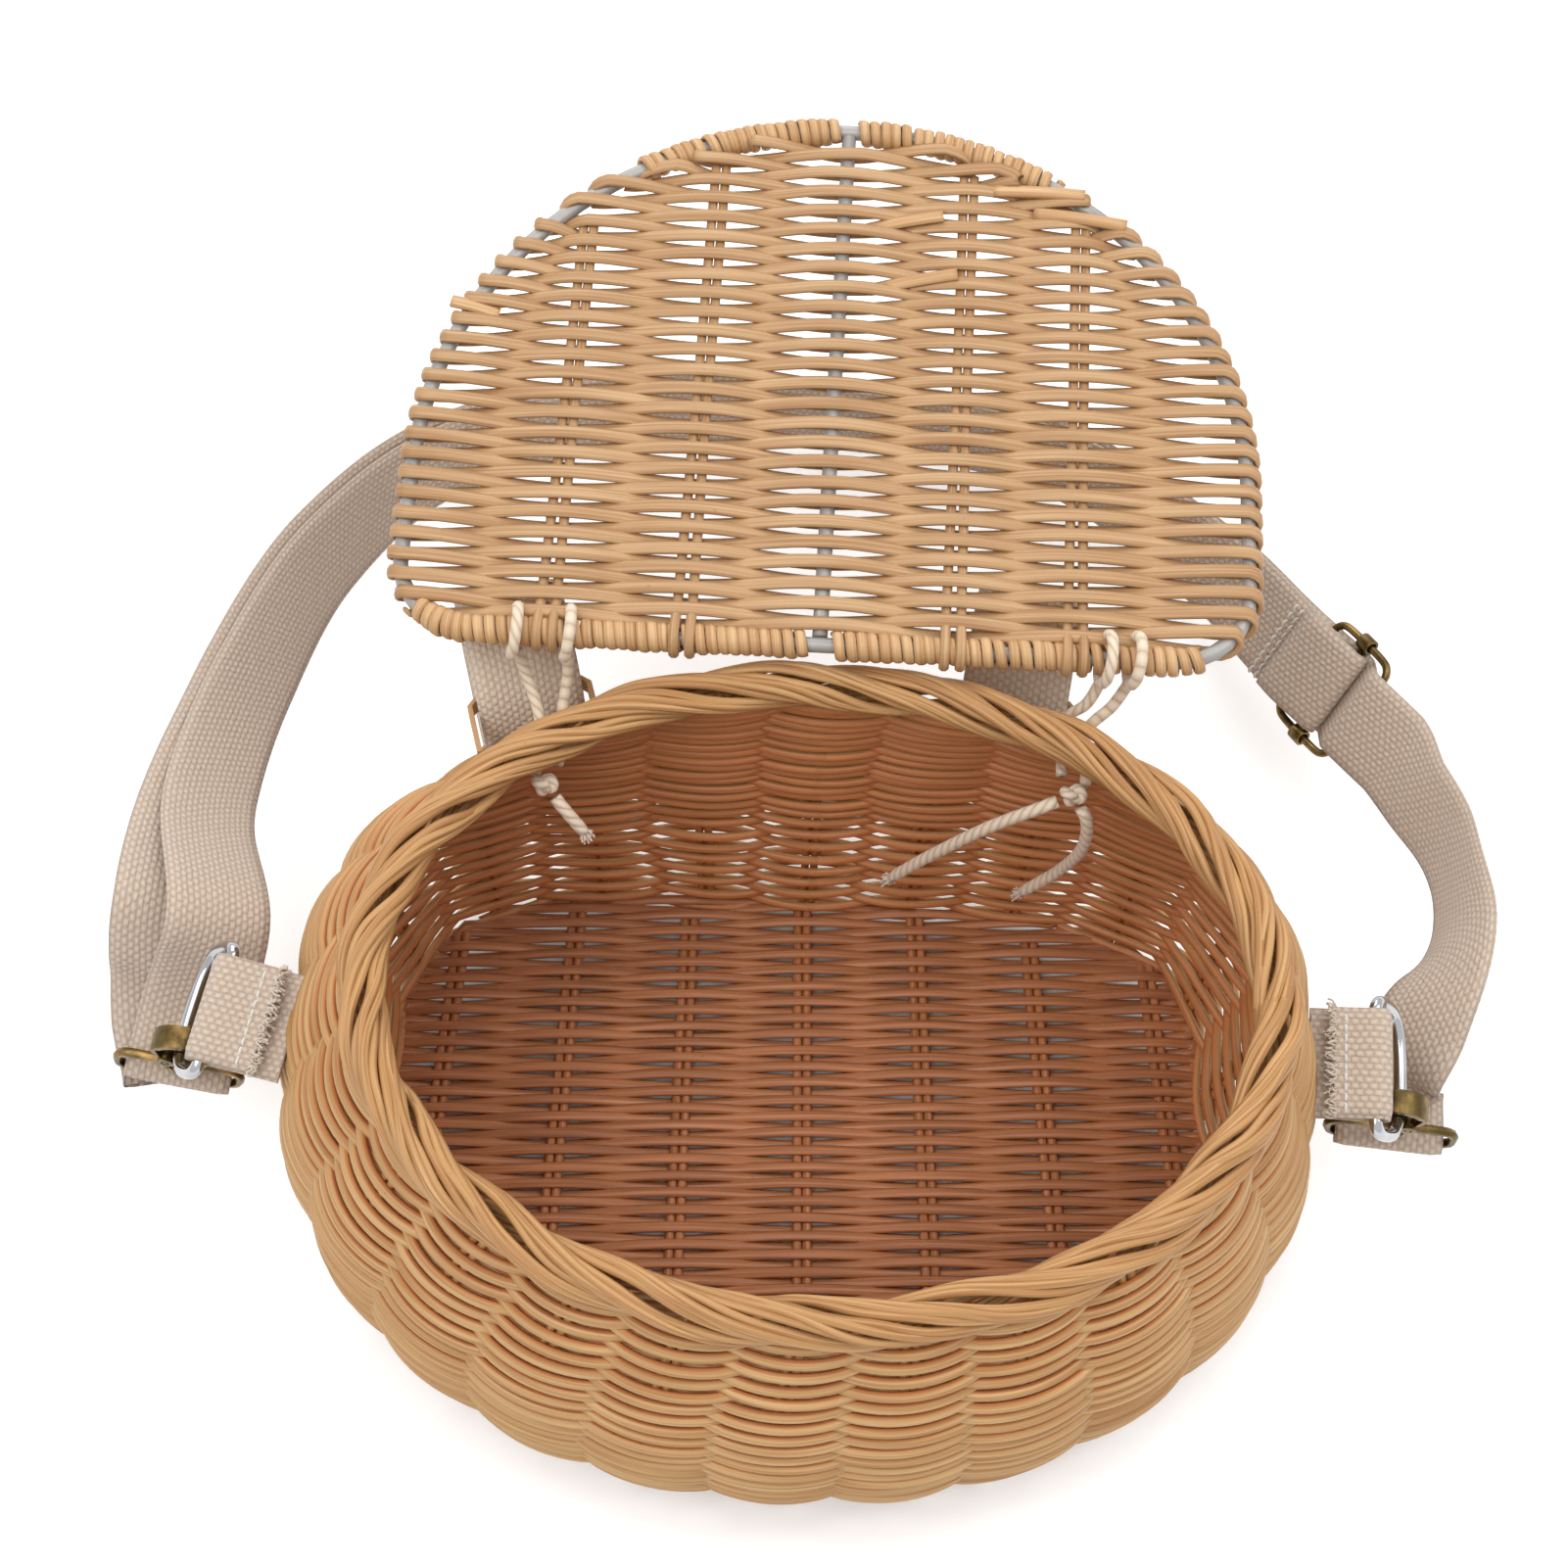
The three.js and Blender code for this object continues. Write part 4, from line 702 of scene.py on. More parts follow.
class CaneTree:
    """Geometry Nodes tree that sweeps an oval cane along every spline of a curve."""

    tree: bpy.types.NodeTree | None = None
    sockets: dict[str, str] = {}

    @classmethod
    def get(cls) -> bpy.types.NodeTree:
        """Builds the tree on first use.

        Returns:
            The tree.
        """
        if cls.tree is None:
            cls.build()
        return cls.tree

    @classmethod
    def build(cls) -> None:
        """Lays out the tree and keeps its inputs' identifiers."""
        tree = bpy.data.node_groups.new("cane_along_splines", "GeometryNodeTree")
        new = tree.interface.new_socket
        new("Splines", in_out="INPUT", socket_type="NodeSocketGeometry")
        for word, kind in (("Thickness", "Float"), ("Width", "Float"), ("Sides", "Int"), ("Upright", "Bool"),
                           ("Finish", "Material")):
            cls.sockets[word] = new(word, in_out="INPUT", socket_type="NodeSocket" + kind).identifier
        new("Canes", in_out="OUTPUT", socket_type="NodeSocketGeometry")
        n = Nodes(tree)
        start = n.add("NodeGroupInput")
        level = n.add("GeometryNodeSetCurveNormal", {"mode": Lay.UPRIGHT.value}, Curve=start.outputs["Splines"],
                      Selection=start.outputs["Upright"])
        seeded = n.add("FunctionNodeRandomValue", {"data_type": "FLOAT"}, i2=0.0, i3=5000.0,
                       ID=n.add("GeometryNodeInputIndex").outputs[0], Seed=7)
        along, round_it = (n.add("GeometryNodeSplineParameter").outputs for _ in range(2))
        runs = cls.store(n, level.outputs[0], "cane_seed", seeded.outputs[1], "CURVE")
        runs = cls.store(n, runs, "cane_run", along["Length"])
        section = n.add("GeometryNodeCurvePrimitiveCircle", {"mode": "RADIUS"}, Resolution=start.outputs["Sides"],
                        Radius=0.5)
        oval = n.add("ShaderNodeCombineXYZ", None, i0=start.outputs["Thickness"], i1=start.outputs["Width"], i2=1.0)
        shaped = n.add("GeometryNodeTransform", None, Geometry=section.outputs[0], Scale=oval.outputs[0])
        marked = cls.store(n, shaped.outputs[0], "cane_round", round_it["Factor"])
        swept = n.add("GeometryNodeCurveToMesh", None, Curve=runs, Profile_Curve=marked, Fill_Caps=True)
        n.add("NodeGroupOutput", None, i0=cls.grain(n, swept.outputs[0], start))
        cls.tree = tree

    @staticmethod
    def store(n: Nodes, geometry: Socket, name: str, value: Socket, domain: str = "POINT",
              kind: str = "FLOAT") -> Socket:
        """Output of a Store Named Attribute node."""
        return n.add("GeometryNodeStoreNamedAttribute", {"data_type": kind, "domain": domain}, Geometry=geometry,
                     Name=name, Value=value).outputs[0]

    @classmethod
    def grain(cls, n: Nodes, geometry: Socket, start: bpy.types.Node) -> Socket:
        """Stores the grain vector, then shades, dresses and realizes the canes.

        Args:
            n: layout helper of the tree.
            geometry: swept canes.
            start: input node of the tree.
        Returns:
            The finished geometry.
        """
        about, run, seed = (n.add("GeometryNodeInputNamedAttribute", {"data_type": "FLOAT"}, Name=name).outputs[0]
                            for name in ("cane_round", "cane_run", "cane_seed"))
        turn = n.math("MULTIPLY", about, 2 * math.pi)
        run = n.math("ADD", n.math("MULTIPLY", run, 1 / MM), seed)
        vector = n.add("ShaderNodeCombineXYZ", None, i0=run, i1=n.math("COSINE", turn), i2=n.math("SINE", turn))
        stored = cls.store(n, geometry, "grain", vector.outputs[0], kind="FLOAT_VECTOR")
        shaded = n.add("GeometryNodeSetShadeSmooth", None, i0=stored)
        whole = n.add("GeometryNodeRealizeInstances", None, i0=shaded.outputs[0])
        return n.add("GeometryNodeSetMaterial", None, Geometry=whole.outputs[0],
                     Material=start.outputs["Finish"]).outputs[0]


def canes(name: str, paths: Sequence[Array], closed: bool, size: tuple[float, float], lay: Lay,
          material: Material, sides: int = 8) -> Piece:
    """Canes swept by Geometry Nodes along paths, as a plain mesh.

    Args:
        name: name of the piece.
        paths: points of each cane in millimetres.
        closed: whether each path is a loop.
        size: thickness, sideways of an upright section, and width, in millimetres.
        lay: how the section is kept from turning.
        material: finish of the piece.
        sides: points round a cane.
    Returns:
        The object, at the origin and in metres.
    """
    curve = bpy.data.curves.new(name + "_runs", "CURVE")
    curve.dimensions = "3D"
    for path in paths:
        spline = curve.splines.new("POLY")
        spline.points.add(len(path) - 1)
        spline.points.foreach_set("co", np.column_stack([path * MM, np.ones(len(path))]).ravel())
        spline.use_cyclic_u = closed
    runs = linked(name + "_runs", curve)
    modifier = runs.modifiers.new("canes", "NODES")
    modifier.node_group = CaneTree.get()
    told = {"Thickness": size[0] * MM, "Width": size[1] * MM, "Sides": sides, "Upright": lay is Lay.UPRIGHT,
            "Finish": material}
    for word, value in told.items():
        modifier[CaneTree.sockets[word]] = value
    mesh = evaluated(runs, name)
    bpy.data.objects.remove(runs)
    bpy.data.curves.remove(curve)
    return mesh_object(name, mesh, material)


def eased_copy(name: str, node: str, material: Material, round_off: float, levels: int = 0,
               sharp: float = 40.0) -> Piece:
    """A softened copy of a rigid CAD node.

    Args:
        name: name of the piece.
        node: CAD node that is copied.
        material: finish of the piece.
        round_off: width of the edge rounding in millimetres, or 0 for none.
        levels: subdivision of a plain swept wire.
        sharp: edges bent more than this, in degrees, are rounded or kept sharp.
    Returns:
        The object, with its modifiers applied.
    """
    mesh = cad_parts[node].data.copy()
    work = bmesh.new()
    work.from_mesh(mesh)
    bmesh.ops.remove_doubles(work, verts=work.verts, dist=1e-6)
    bmesh.ops.join_triangles(work, faces=work.faces, angle_face_threshold=0.7, angle_shape_threshold=1.2)
    bmesh.ops.recalc_face_normals(work, faces=work.faces)
    work.to_mesh(mesh)
    work.free()
    mesh.name = name
    piece = mesh_object(name, mesh, material)
    if levels:
        smooth = piece.modifiers.new("smooth", "SUBSURF")
        smooth.levels = smooth.render_levels = levels
    if round_off:
        bevel = piece.modifiers.new("round", "BEVEL")
        bevel.width = round_off * MM
        bevel.segments = 2
        bevel.angle_limit = math.radians(sharp)
    done = evaluated(piece, name)
    piece.modifiers.clear()
    piece.data = done
    shade_smooth(done)
    if not levels:
        done.set_sharp_from_angle(angle=math.radians(sharp))
    return piece


def catmull(points: Array, count: int) -> tuple[Array, Array]:
    """Centripetal spline through points, at even run.

    Args:
        points: points on the way.
        count: points wanted.
    Returns:
        Points at even steps, and the run at each given point.
    """
    p = np.asarray(points, dtype=float)
    ends = np.vstack([2 * p[0] - p[1], p, 2 * p[-1] - p[-2]])
    fine, marks = [], [0]
    for i in range(len(p) - 1):
        a, b, c, d = ends[i:i + 4]
        t1, t2, t3 = (max(1e-4, np.linalg.norm(v) ** 0.5) for v in (b - a, c - b, d - c))
        m1 = ((b - a) / t1 - (c - a) / (t1 + t2) + (c - b) / t2) * t2
        m2 = ((c - b) / t2 - (d - b) / (t2 + t3) + (d - c) / t3) * t2
        s = np.linspace(0, 1, 60)[:, None]
        part = ((2 * b - 2 * c + m1 + m2) * s ** 3 + (-3 * b + 3 * c - 2 * m1 - m2) * s ** 2 + m1 * s + b)
        fine.append(part if i == 0 else part[1:])
        marks.append(marks[-1] + len(fine[-1]))
    fine = np.vstack(fine)
    run = run_along(fine)
    even = np.linspace(0, run[-1], count)
    at = np.stack([np.interp(even, run, fine[:, k]) for k in range(3)], axis=1)
    return at, run[[max(0, m - 1) for m in marks]]


def stitch(start: Array, up: Array, across: Array, length: float, depth: float) -> Array:
    """One stitch of thread.

    Args:
        start: where it comes out of the cloth.
        up: the way out of the cloth.
        across: the way that it runs.
        length: its length.
        depth: how far its ends go into the cloth.
    Returns:
        Points of its path.
    """
    return np.array([start - up * depth, start + across * 0.4, start + across * (length - 0.5),
                     start + across * length - up * depth])


@dataclass(frozen=True)
class Outline:
    """Plan of the wall at one height, in millimetres."""

    centre: float
    half: float
    front: float
    back: float
    square: float

    def towards(self, other: "Outline", t: float) -> "Outline":
        """The outline part of the way to another."""
        return Outline(*(mix(a, b, t) for a, b in zip(vars(self).values(), vars(other).values())))


@dataclass
class WallForm:
    """Shape of the basket's wall, shared by its weave, base, hinge cords and bar straps."""

    base: Outline = Outline(-6.0, 104.0, -67.0, 84.0, 4.5)
    belly: Outline = Outline(-4.7, 117.5, -86.5, 88.0, 3.2)
    rim: Outline = Outline(0.0, 100.5, -71.0, 85.0, 2.0)
    belly_height: float = 58.0
    top: float = 105.2
    centre_y: float = 7.0
    front_square: float = 2.05
    stakes: int = 24
    angles: Array = field(default_factory=lambda: np.linspace(0, 2 * np.pi, 2401))

    def level(self, z: float) -> Outline:
        """The plan at a height.

        Args:
            z: the height.
        Returns:
            The outline there.
        """
        z = min(self.top, max(0.0, z))
        if z > self.belly_height:
            t = (z - self.belly_height) / (self.top - self.belly_height)
            return self.rim.towards(self.belly, math.cos(math.pi / 2 * t))
        return self.base.towards(self.belly, math.sin(math.pi / 2 * z / self.belly_height))

    def radius(self, plan: Outline, angle: Array, offset: Array | float) -> Array:
        """Distance from the plan's centre to its outline.

        Args:
            plan: outline at the height.
            angle: directions in radians.
            offset: how far outside the outline.
        Returns:
            One distance for each direction.
        """
        behind = np.sin(angle) > 0
        power = np.where(behind, plan.square, self.front_square)
        deep = np.where(behind, plan.back - self.centre_y, self.centre_y - plan.front) + offset
        total = np.abs(np.cos(angle) / (plan.half + offset)) ** power + np.abs(np.sin(angle) / deep) ** power
        return total ** (-1 / power)

    def direction(self, stake: Array) -> Array:
        """Directions of places round the wall.

        Args:
            stake: places counted in stakes from the middle of the back.
        Returns:
            Directions in radians.
        """
        r = self.radius(self.belly, self.angles, 0.0)
        run = run_along(np.stack([r * np.cos(self.angles), r * np.sin(self.angles)], axis=1))
        middle = run[len(run) // 4]
        return np.interp((middle + run[-1] * np.asarray(stake) / self.stakes) % run[-1], run, self.angles)

    def at(self, stake: Array, z: float, offset: Array | float) -> Array:
        """Points of the wall.

        Args:
            stake: places round the wall counted in stakes.
            z: height.
            offset: how far outside the nominal outer face.
        Returns:
            Points, one for each place.
        """
        plan = self.level(z)
        angle = self.direction(stake)
        r = self.radius(plan, angle, 0.0) + offset
        return np.stack([plan.centre + r * np.cos(angle), self.centre_y + r * np.sin(angle),
                         np.full_like(r, z)], axis=1)

    def back_y(self, x: float, z: float) -> float:
        """Outer face of the back wall.

        Args:
            x: place across.
            z: height.
        Returns:
            Its place along Y.
        """
        plan = self.level(z)
        part = abs((x - plan.centre) / plan.half) ** plan.square
        return self.centre_y + (plan.back - self.centre_y) * (1 - part) ** (1 / plan.square)


@dataclass
class Assembly:
    """A part of the basket, built in the basket's finishes."""

    finishes: Finishes


@dataclass
class BasketWall(Assembly):
    """Rows of single canes woven round paired stakes."""

    form: WallForm
    first_z: float = 2.3
    last_z: float = 104.4
    low_pitch: float = 2.75
    high_pitch: float = 1.8
    pitch_change: tuple[float, float] = (32.0, 60.0)
    middle: float = -1.6
    swing: float = 2.1
    fullness: float = 0.8
    uneven: float = 0.5
    uneven_part: float = 0.8
    lowest: float = 1.7
    cane: tuple[float, float] = (2.5, 2.6)
    cane_sides: int = 6
    stake: tuple[float, float] = (2.1, 2.1)
    stake_apart: float = 1.15
    stake_ends: tuple[float, float] = (1.2, 108.0)
    stake_points: int = 30
    points_each: int = 12
    seed: int = 11

    def heights(self) -> list[float]:
        """Spaces the rows, wider apart in the lower half.

        Returns:
            Their heights, from the base up.
        """
        made = [self.first_z]
        while made[-1] < self.last_z:
            made.append(made[-1] + mix(self.low_pitch, self.high_pitch, ease(*self.pitch_change, made[-1])))
        return [z * self.last_z / made[-1] if z > self.first_z else z for z in made]

    def row(self, number: int, z: float, rng: np.random.Generator) -> Array:
        """One row round the basket, over and under the stakes by turns.

        Args:
            number: row counted from the base.
            z: its height.
            rng: source of the small unevenness.
        Returns:
            Points of a closed path.
        """
        count = self.form.stakes * self.points_each
        stake = np.arange(count) / self.points_each
        up = 1 if number % 2 == 0 else -1
        swell = np.cos(np.pi * stake)
        swell = np.sign(swell) * np.abs(swell) ** self.fullness
        uneven = np.repeat(rng.uniform(-self.uneven, self.uneven, self.form.stakes), self.points_each)
        soft = np.ones(self.points_each) / self.points_each
        uneven = self.uneven_part * np.convolve(np.tile(uneven, 3), soft, "same")[count:2 * count]
        path = self.form.at(stake, z, self.middle + up * self.swing * swell + uneven)
        path[:, 2] = np.maximum(path[:, 2] + uneven, self.lowest)
        return path

    def stake_run(self, number: int, side: int) -> Array:
        """One of the pair of canes of a stake, from base to rim.

        Args:
            number: the stake.
            side: -1 or 1, which cane of the pair.
        Returns:
            Points of the path.
        """
        points = []
        for z in np.linspace(*self.stake_ends, self.stake_points):
            here = self.form.at(number + np.array([-0.02, 0.0, 0.02]), z, self.middle)
            points.append(here[1] + unit(here[2] - here[0]) * side * self.stake_apart)
            points[-1][2] = z
        return np.array(points)

    def build(self) -> None:
        """Makes the weave and the stakes."""
        rng = np.random.default_rng(self.seed)
        rows = [self.row(i, z, rng) for i, z in enumerate(self.heights())]
        half = len(rows) // 2
        for name, part, nodes in (("lower", rows[:half], ["basket_wall"]), ("upper", rows[half:], [])):
            weave = canes(f"wall_weave_{name}", part, True, self.cane, Lay.UPRIGHT, self.finishes.wall, self.cane_sides)
            ride(weave, Body.BASKET, Slot.WICKER, *nodes)
        paths = [self.stake_run(k, side) for k in range(self.form.stakes) for side in SIDES]
        ride(canes("wall_stakes", paths, False, self.stake, Lay.EVEN, self.finishes.wall), Body.BASKET, Slot.WICKER)


@dataclass
class RimPlait(Assembly):
    """Rope-like rim of four bundles of canes."""

    centre_y: float = 7.0
    half_width: float = 98.0
    front: float = -68.5
    back: float = 82.5
    height: float = 111.0
    radius: float = 5.5
    turns: int = 6
    bundles: int = 4
    each: int = 4
    cane: tuple[float, float] = (2.0, 2.0)
    spread: float = 0.34
    sway: float = 0.07
    sway_counts: tuple[int, ...] = (3, 7, 11, 17, 29)
    lobes: int = 12
    lobe_shift: float = 1.6
    lobe_lift: float = 0.55
    pinch_mean: float = 0.84
    pinch_swing: float = 0.24
    sunk: float = 0.9
    crown: float = 0.36
    rough: float = 0.2
    steps: int = 576
    seed: int = 5

    def path(self, bundle: int, cane: int, rng: np.random.Generator) -> Array:
        """One cane of a bundle, wound round the rim.

        Args:
            bundle: number of the bundle.
            cane: place of the cane in its bundle.
            rng: source of the small unevenness.
        Returns:
            Points of a closed path.
        """
        a = 2 * np.pi * np.arange(self.steps) / self.steps
        deep = np.where(np.sin(a) > 0, self.back - self.centre_y, self.centre_y - self.front)
        centre = np.stack([self.half_width * np.cos(a), self.centre_y + deep * np.sin(a),
                           np.full_like(a, self.height)], axis=1)
        out = unit(np.stack([np.cos(a) / self.half_width, np.sin(a) / deep, 0 * a], axis=1))
        place = cane - (self.each - 1) / 2
        sway = sum(rng.uniform(-self.sway, self.sway) * np.sin(k * a + rng.uniform(0, 6.28)) for k in self.sway_counts)
        lobe = self.lobes * a + self.lobe_shift * bundle
        pinch = self.pinch_mean + self.pinch_swing * np.sin(lobe)
        turn = 2 * np.pi * bundle / self.bundles - self.turns * a + place * self.spread * pinch + sway
        lift = self.radius - self.sunk - self.crown * place ** 2 * (1.15 - 0.3 * pinch)
        lift = lift + self.lobe_lift * np.sin(lobe + 2.0) + rng.uniform(-self.rough, self.rough)
        return centre + (out * np.cos(turn)[:, None] + UP * np.sin(turn)[:, None]) * lift[:, None]

    def build(self) -> None:
        """Makes the rim."""
        rng = np.random.default_rng(self.seed)
        paths = [self.path(b, c, rng) for b in range(self.bundles) for c in range(self.each)]
        piece = canes("rim_plait", paths, True, self.cane, Lay.EVEN, self.finishes.rim)
        ride(piece, Body.BASKET, Slot.WICKER, "rim_braid")


@dataclass
class BasePanel(Assembly):
    """Woven floor: one cane to and fro over pairs of stakes."""

    form: WallForm
    turn: float = math.radians(3.3)
    rows: int = 66
    inset: float = -1.2
    middle_z: float = 2.5
    swing: float = 1.35
    cane: tuple[float, float] = (2.8, 1.5)
    stake: tuple[float, float] = (2.4, 2.4)
    stake_apart: float = 1.2
    clear: float = 4.0
    margin: float = 1.6
    end_gap: float = 0.4
    row_points: int = 90
    drift: float = 0.3
    seed: int = 3
    back_x: float = -7.0
    back_pitch: float = 29.3
    front_x: float = 1.0
    front_pitch: float = 32.5
    pairs: int = 7

    def edge(self) -> Array:
        """Edge of the floor.

        Returns:
            Points of its plan.
        """
        a = np.linspace(0, 2 * np.pi, 721)
        plan = self.form.level(0.0)
        r = self.form.radius(plan, a, self.inset)
        return np.stack([plan.centre + r * np.cos(a), self.form.centre_y + r * np.sin(a)], axis=1)

    def stake_line(self, number: int) -> tuple[Array, Array]:
        """Middle line of a stake.

        Args:
            number: the stake.
        Returns:
            Front and back points of its plan.
        """
        place = number - (self.pairs - 1) / 2
        front = np.array([self.front_x + place * self.front_pitch, self.form.base.front])
        return front, np.array([self.back_x + place * self.back_pitch, self.form.base.back])

    def turned(self, points: Array) -> Array:
        """Plan points in the weave's own directions."""
        c, s = math.cos(self.turn), math.sin(self.turn)
        return points @ np.array([[c, -s], [s, c]])

    def weave(self) -> Array:
        """The one cane of the floor.

        Returns:
            Points of the path.
        """
        c, s = math.cos(self.turn), math.sin(self.turn)
        edge = self.turned(self.edge())
        lines = [tuple(self.turned(np.array(p)) for p in self.stake_line(i)) for i in range(self.pairs)]
        low, high = edge[:, 1].min() + self.margin, edge[:, 1].max() - self.margin
        rng = np.random.default_rng(self.seed)
        path = []
        for row in range(self.rows):
            v = mix(low, high, row / (self.rows - 1))
            ends = sorted(edge[k, 0] for k in np.where(np.diff(np.sign(edge[:, 1] - v)))[0])
            left, right = ends[0] + self.end_gap, ends[-1] - self.end_gap
            knots = [(left, 0.0)]
            for i, (front, back) in enumerate(lines):
                u = np.interp(v, [front[1], back[1]], [front[0], back[0]])
                if left + self.clear < u < right - self.clear:
                    knots.append((u, 1.0 if (row + i) % 2 else -1.0))
            knots.append((right, 0.0))
            u = np.linspace(left, right, self.row_points)
            drift = self.drift * np.interp(u, np.linspace(left, right, 7), rng.uniform(-1, 1, 7))
            line = np.stack([u, v + drift, self.middle_z + self.swing * wave(knots, u)], axis=1)
            path.append(line if row % 2 == 0 else line[::-1])
        x, y, z = np.vstack(path).T
        return np.stack([x * c - y * s, x * s + y * c, z], axis=1)

    def stakes(self) -> list[Array]:
        """Both canes of every pair, from wall to wall.

        Returns:
            One path for each cane.
        """
        plan = self.form.level(0.0)
        runs = []
        for number in range(self.pairs):
            front, back = self.stake_line(number)
            line = front + (back - front) * np.linspace(0, 1, 200)[:, None]
            off = line - np.array([plan.centre, self.form.centre_y])
            reach = self.form.radius(plan, np.arctan2(off[:, 1], off[:, 0]), self.inset - 1.0)
            line = line[np.hypot(off[:, 0], off[:, 1]) < reach][::6]
            runs += [np.column_stack([line[:, 0] + side * self.stake_apart, line[:, 1],
                                      np.full(len(line), self.middle_z)]) for side in SIDES]
        return runs

    def build(self) -> None:
        """Makes the floor."""
        # the floor's finish carries painted shade of the basket's inside
        weave = canes("base_weave", [self.weave()], False, self.cane, Lay.UPRIGHT, self.finishes.base)
        ride(weave, Body.BASKET, Slot.WICKER, "base_panel")
        stakes = canes("base_stakes", self.stakes(), False, self.stake, Lay.EVEN, self.finishes.base)
        ride(stakes, Body.BASKET, Slot.CANE, *(f"base_stake_pair_{i + 1}" for i in range(self.pairs)))


@dataclass
class Lid(Assembly):
    """Wire-framed lid with one cane woven to and fro and lashed edges."""

    origin: Array = fixed(-4.0, 86.5, 121.555)
    open_angle: float = math.radians(5.0)
    half_width: float = 97.0
    depth: float = 143.5
    arc_start: float = 45.0
    corner: float = 18.0
    wire: float = 1.8
    stakes: tuple[float, ...] = (-62.0, -31.0, 30.0, 57.5)
    stake: tuple[float, float] = (2.45, 1.9)
    stake_apart: tuple[float, float] = (1.8, 1.25)
    clear: float = 7.0
    hook: tuple[tuple[float, float], ...] = (
        (4.5, -2.4), (0.5, -3.6), (-3.2, -1.8), (-3.3, 1.4), (-0.6, 3.5), (3.2, 2.2), (7.0, 0.6))
    rows: int = 50
    first: float = 4.3
    last: float = 138.0
    cane: tuple[float, float] = (3.5, 1.5)
    play: float = 0.1
    drift: float = 0.28
    lashed: float = 52.0
    turn_back: float = 8.0
    loose: tuple[tuple[float, ...], ...] = (
        (36.0, 126.8, 1.2, 58.2, 125.2, 3.0), (46.0, 120.9, 1.0, 68.3, 116.7, 3.1),
        (4.0, 114.6, -0.6, 24.0, 117.6, 3.0), (7.0, 97.4, -0.6, 27.9, 100.6, 3.0),
        (-81.0, 84.5, 1.0, -92.5, 86.6, 2.7))
    lashing: tuple[float, float] = (2.6, 1.3)
    lash_bend: dict[Side, float] = field(default_factory=lambda: {Side.LEFT: 55.0, Side.RIGHT: 32.0})
    coil_steps: int = 12
    coil_gap: float = 3.5
    close_turns: tuple[float, float] = (2.2, 2.9)
    wide_turns: tuple[float, float] = (3.2, 3.9)
    close_part: float = 0.9
    spine_inset: float = 2.1
    weave_seed: int = 21
    lash_seed: int = 8

    @property
    def axes(self) -> tuple[Array, Array, Array]:
        """Across the lid, away from the hinge and up from its plane."""
        c, s = math.cos(self.open_angle), math.sin(self.open_angle)
        return ACROSS, vec(0, c, s), vec(0, -s, c)

    def point(self, x: Array | float, d: Array | float, n: Array | float) -> Array:
        """Points from their places on the lid.

        Args:
            x: across.
            d: away from the hinge.
            n: up from the lid's plane.
        Returns:
            Points of the frame.
        """
        x, d, n = np.broadcast_arrays(np.asarray(x, float), np.asarray(d, float), np.asarray(n, float))
        across, away, up = self.axes
        return self.origin + x[..., None] * across + d[..., None] * away + n[..., None] * up

    def half_at(self, d: float) -> float:
        """Half the lid's width.

        Args:
            d: distance from the hinge.
        Returns:
            The half width there.
        """
        if d < self.corner:
            return self.half_width - self.corner + math.sqrt(max(0.0, self.corner ** 2 - (self.corner - d) ** 2))
        if d < self.arc_start:
            return self.half_width
        t = (d - self.arc_start) / (self.depth - self.arc_start)
        return self.half_width * math.sqrt(max(0.0, 1 - t * t))

    def row_places(self) -> Array:
        """Distance of each row from the hinge, a little closer together at the hinge."""
        part = np.linspace(0, 1, self.rows)
        return self.first + (self.last - self.first) * (0.96 * part + 0.04 * part ** 2)

    def row_edge(self, d: float) -> float:
        """Half the run of a row, which turns back before the front lashings."""
        edge = self.half_at(d)
        return edge if edge > self.lashed else edge - self.turn_back

    def outline(self) -> Array:
        """Middle line of the frame wire.

        Returns:
            Points of the path.
        """
        straight = self.half_width - self.corner
        turn = np.linspace(-np.pi / 2, 0, 9)
        arc = np.linspace(0, np.pi, 61)
        x = np.concatenate([np.linspace(-straight, straight, 20), straight + self.corner * np.cos(turn[1:]),
                            self.half_width * np.cos(arc), -straight - self.corner * np.cos(turn[::-1][:-1])])
        d = np.concatenate([np.zeros(20), self.corner + self.corner * np.sin(turn[1:]),
                            self.arc_start + (self.depth - self.arc_start) * np.sin(arc),
                            self.corner + self.corner * np.sin(turn[::-1][:-1])])
        return self.point(x, d, 0.0)

    def row(self, number: int, rng: np.random.Generator) -> tuple[Array, float, float]:
        """One row from side to side.

        Args:
            number: row counted from the hinge.
            rng: source of the small unevenness.
        Returns:
            Its points from left to right on the lid (x, d, n), and which side of the wire it ends on.
        """
        d = self.row_places()[number]
        edge = self.row_edge(d)
        up = 1.0 if number % 2 == 0 else -1.0
        half = self.cane[1] / 2
        over_wire, over_stake = self.wire + half + self.play, 1.0 + half + self.play / 2
        knots, ends = [(0.0, up * over_wire)], []
        for side in SIDES:
            met = sorted((x for x in self.stakes if x * side > 0 and abs(x) + self.clear < edge), key=abs)
            knots += [(x, (up if k % 2 else -up) * over_stake) for k, x in enumerate(met)]
            ends.append(up if len(met) % 2 else -up)
            knots.append((side * edge, ends[-1] * over_wire))
        x = np.linspace(-edge, edge, max(24, int(edge)))
        drift = self.drift * np.interp(x, np.linspace(-edge, edge, 8), rng.uniform(-1, 1, 8))
        return np.stack([x, d + drift, wave(sorted(knots), x)], axis=1), *ends

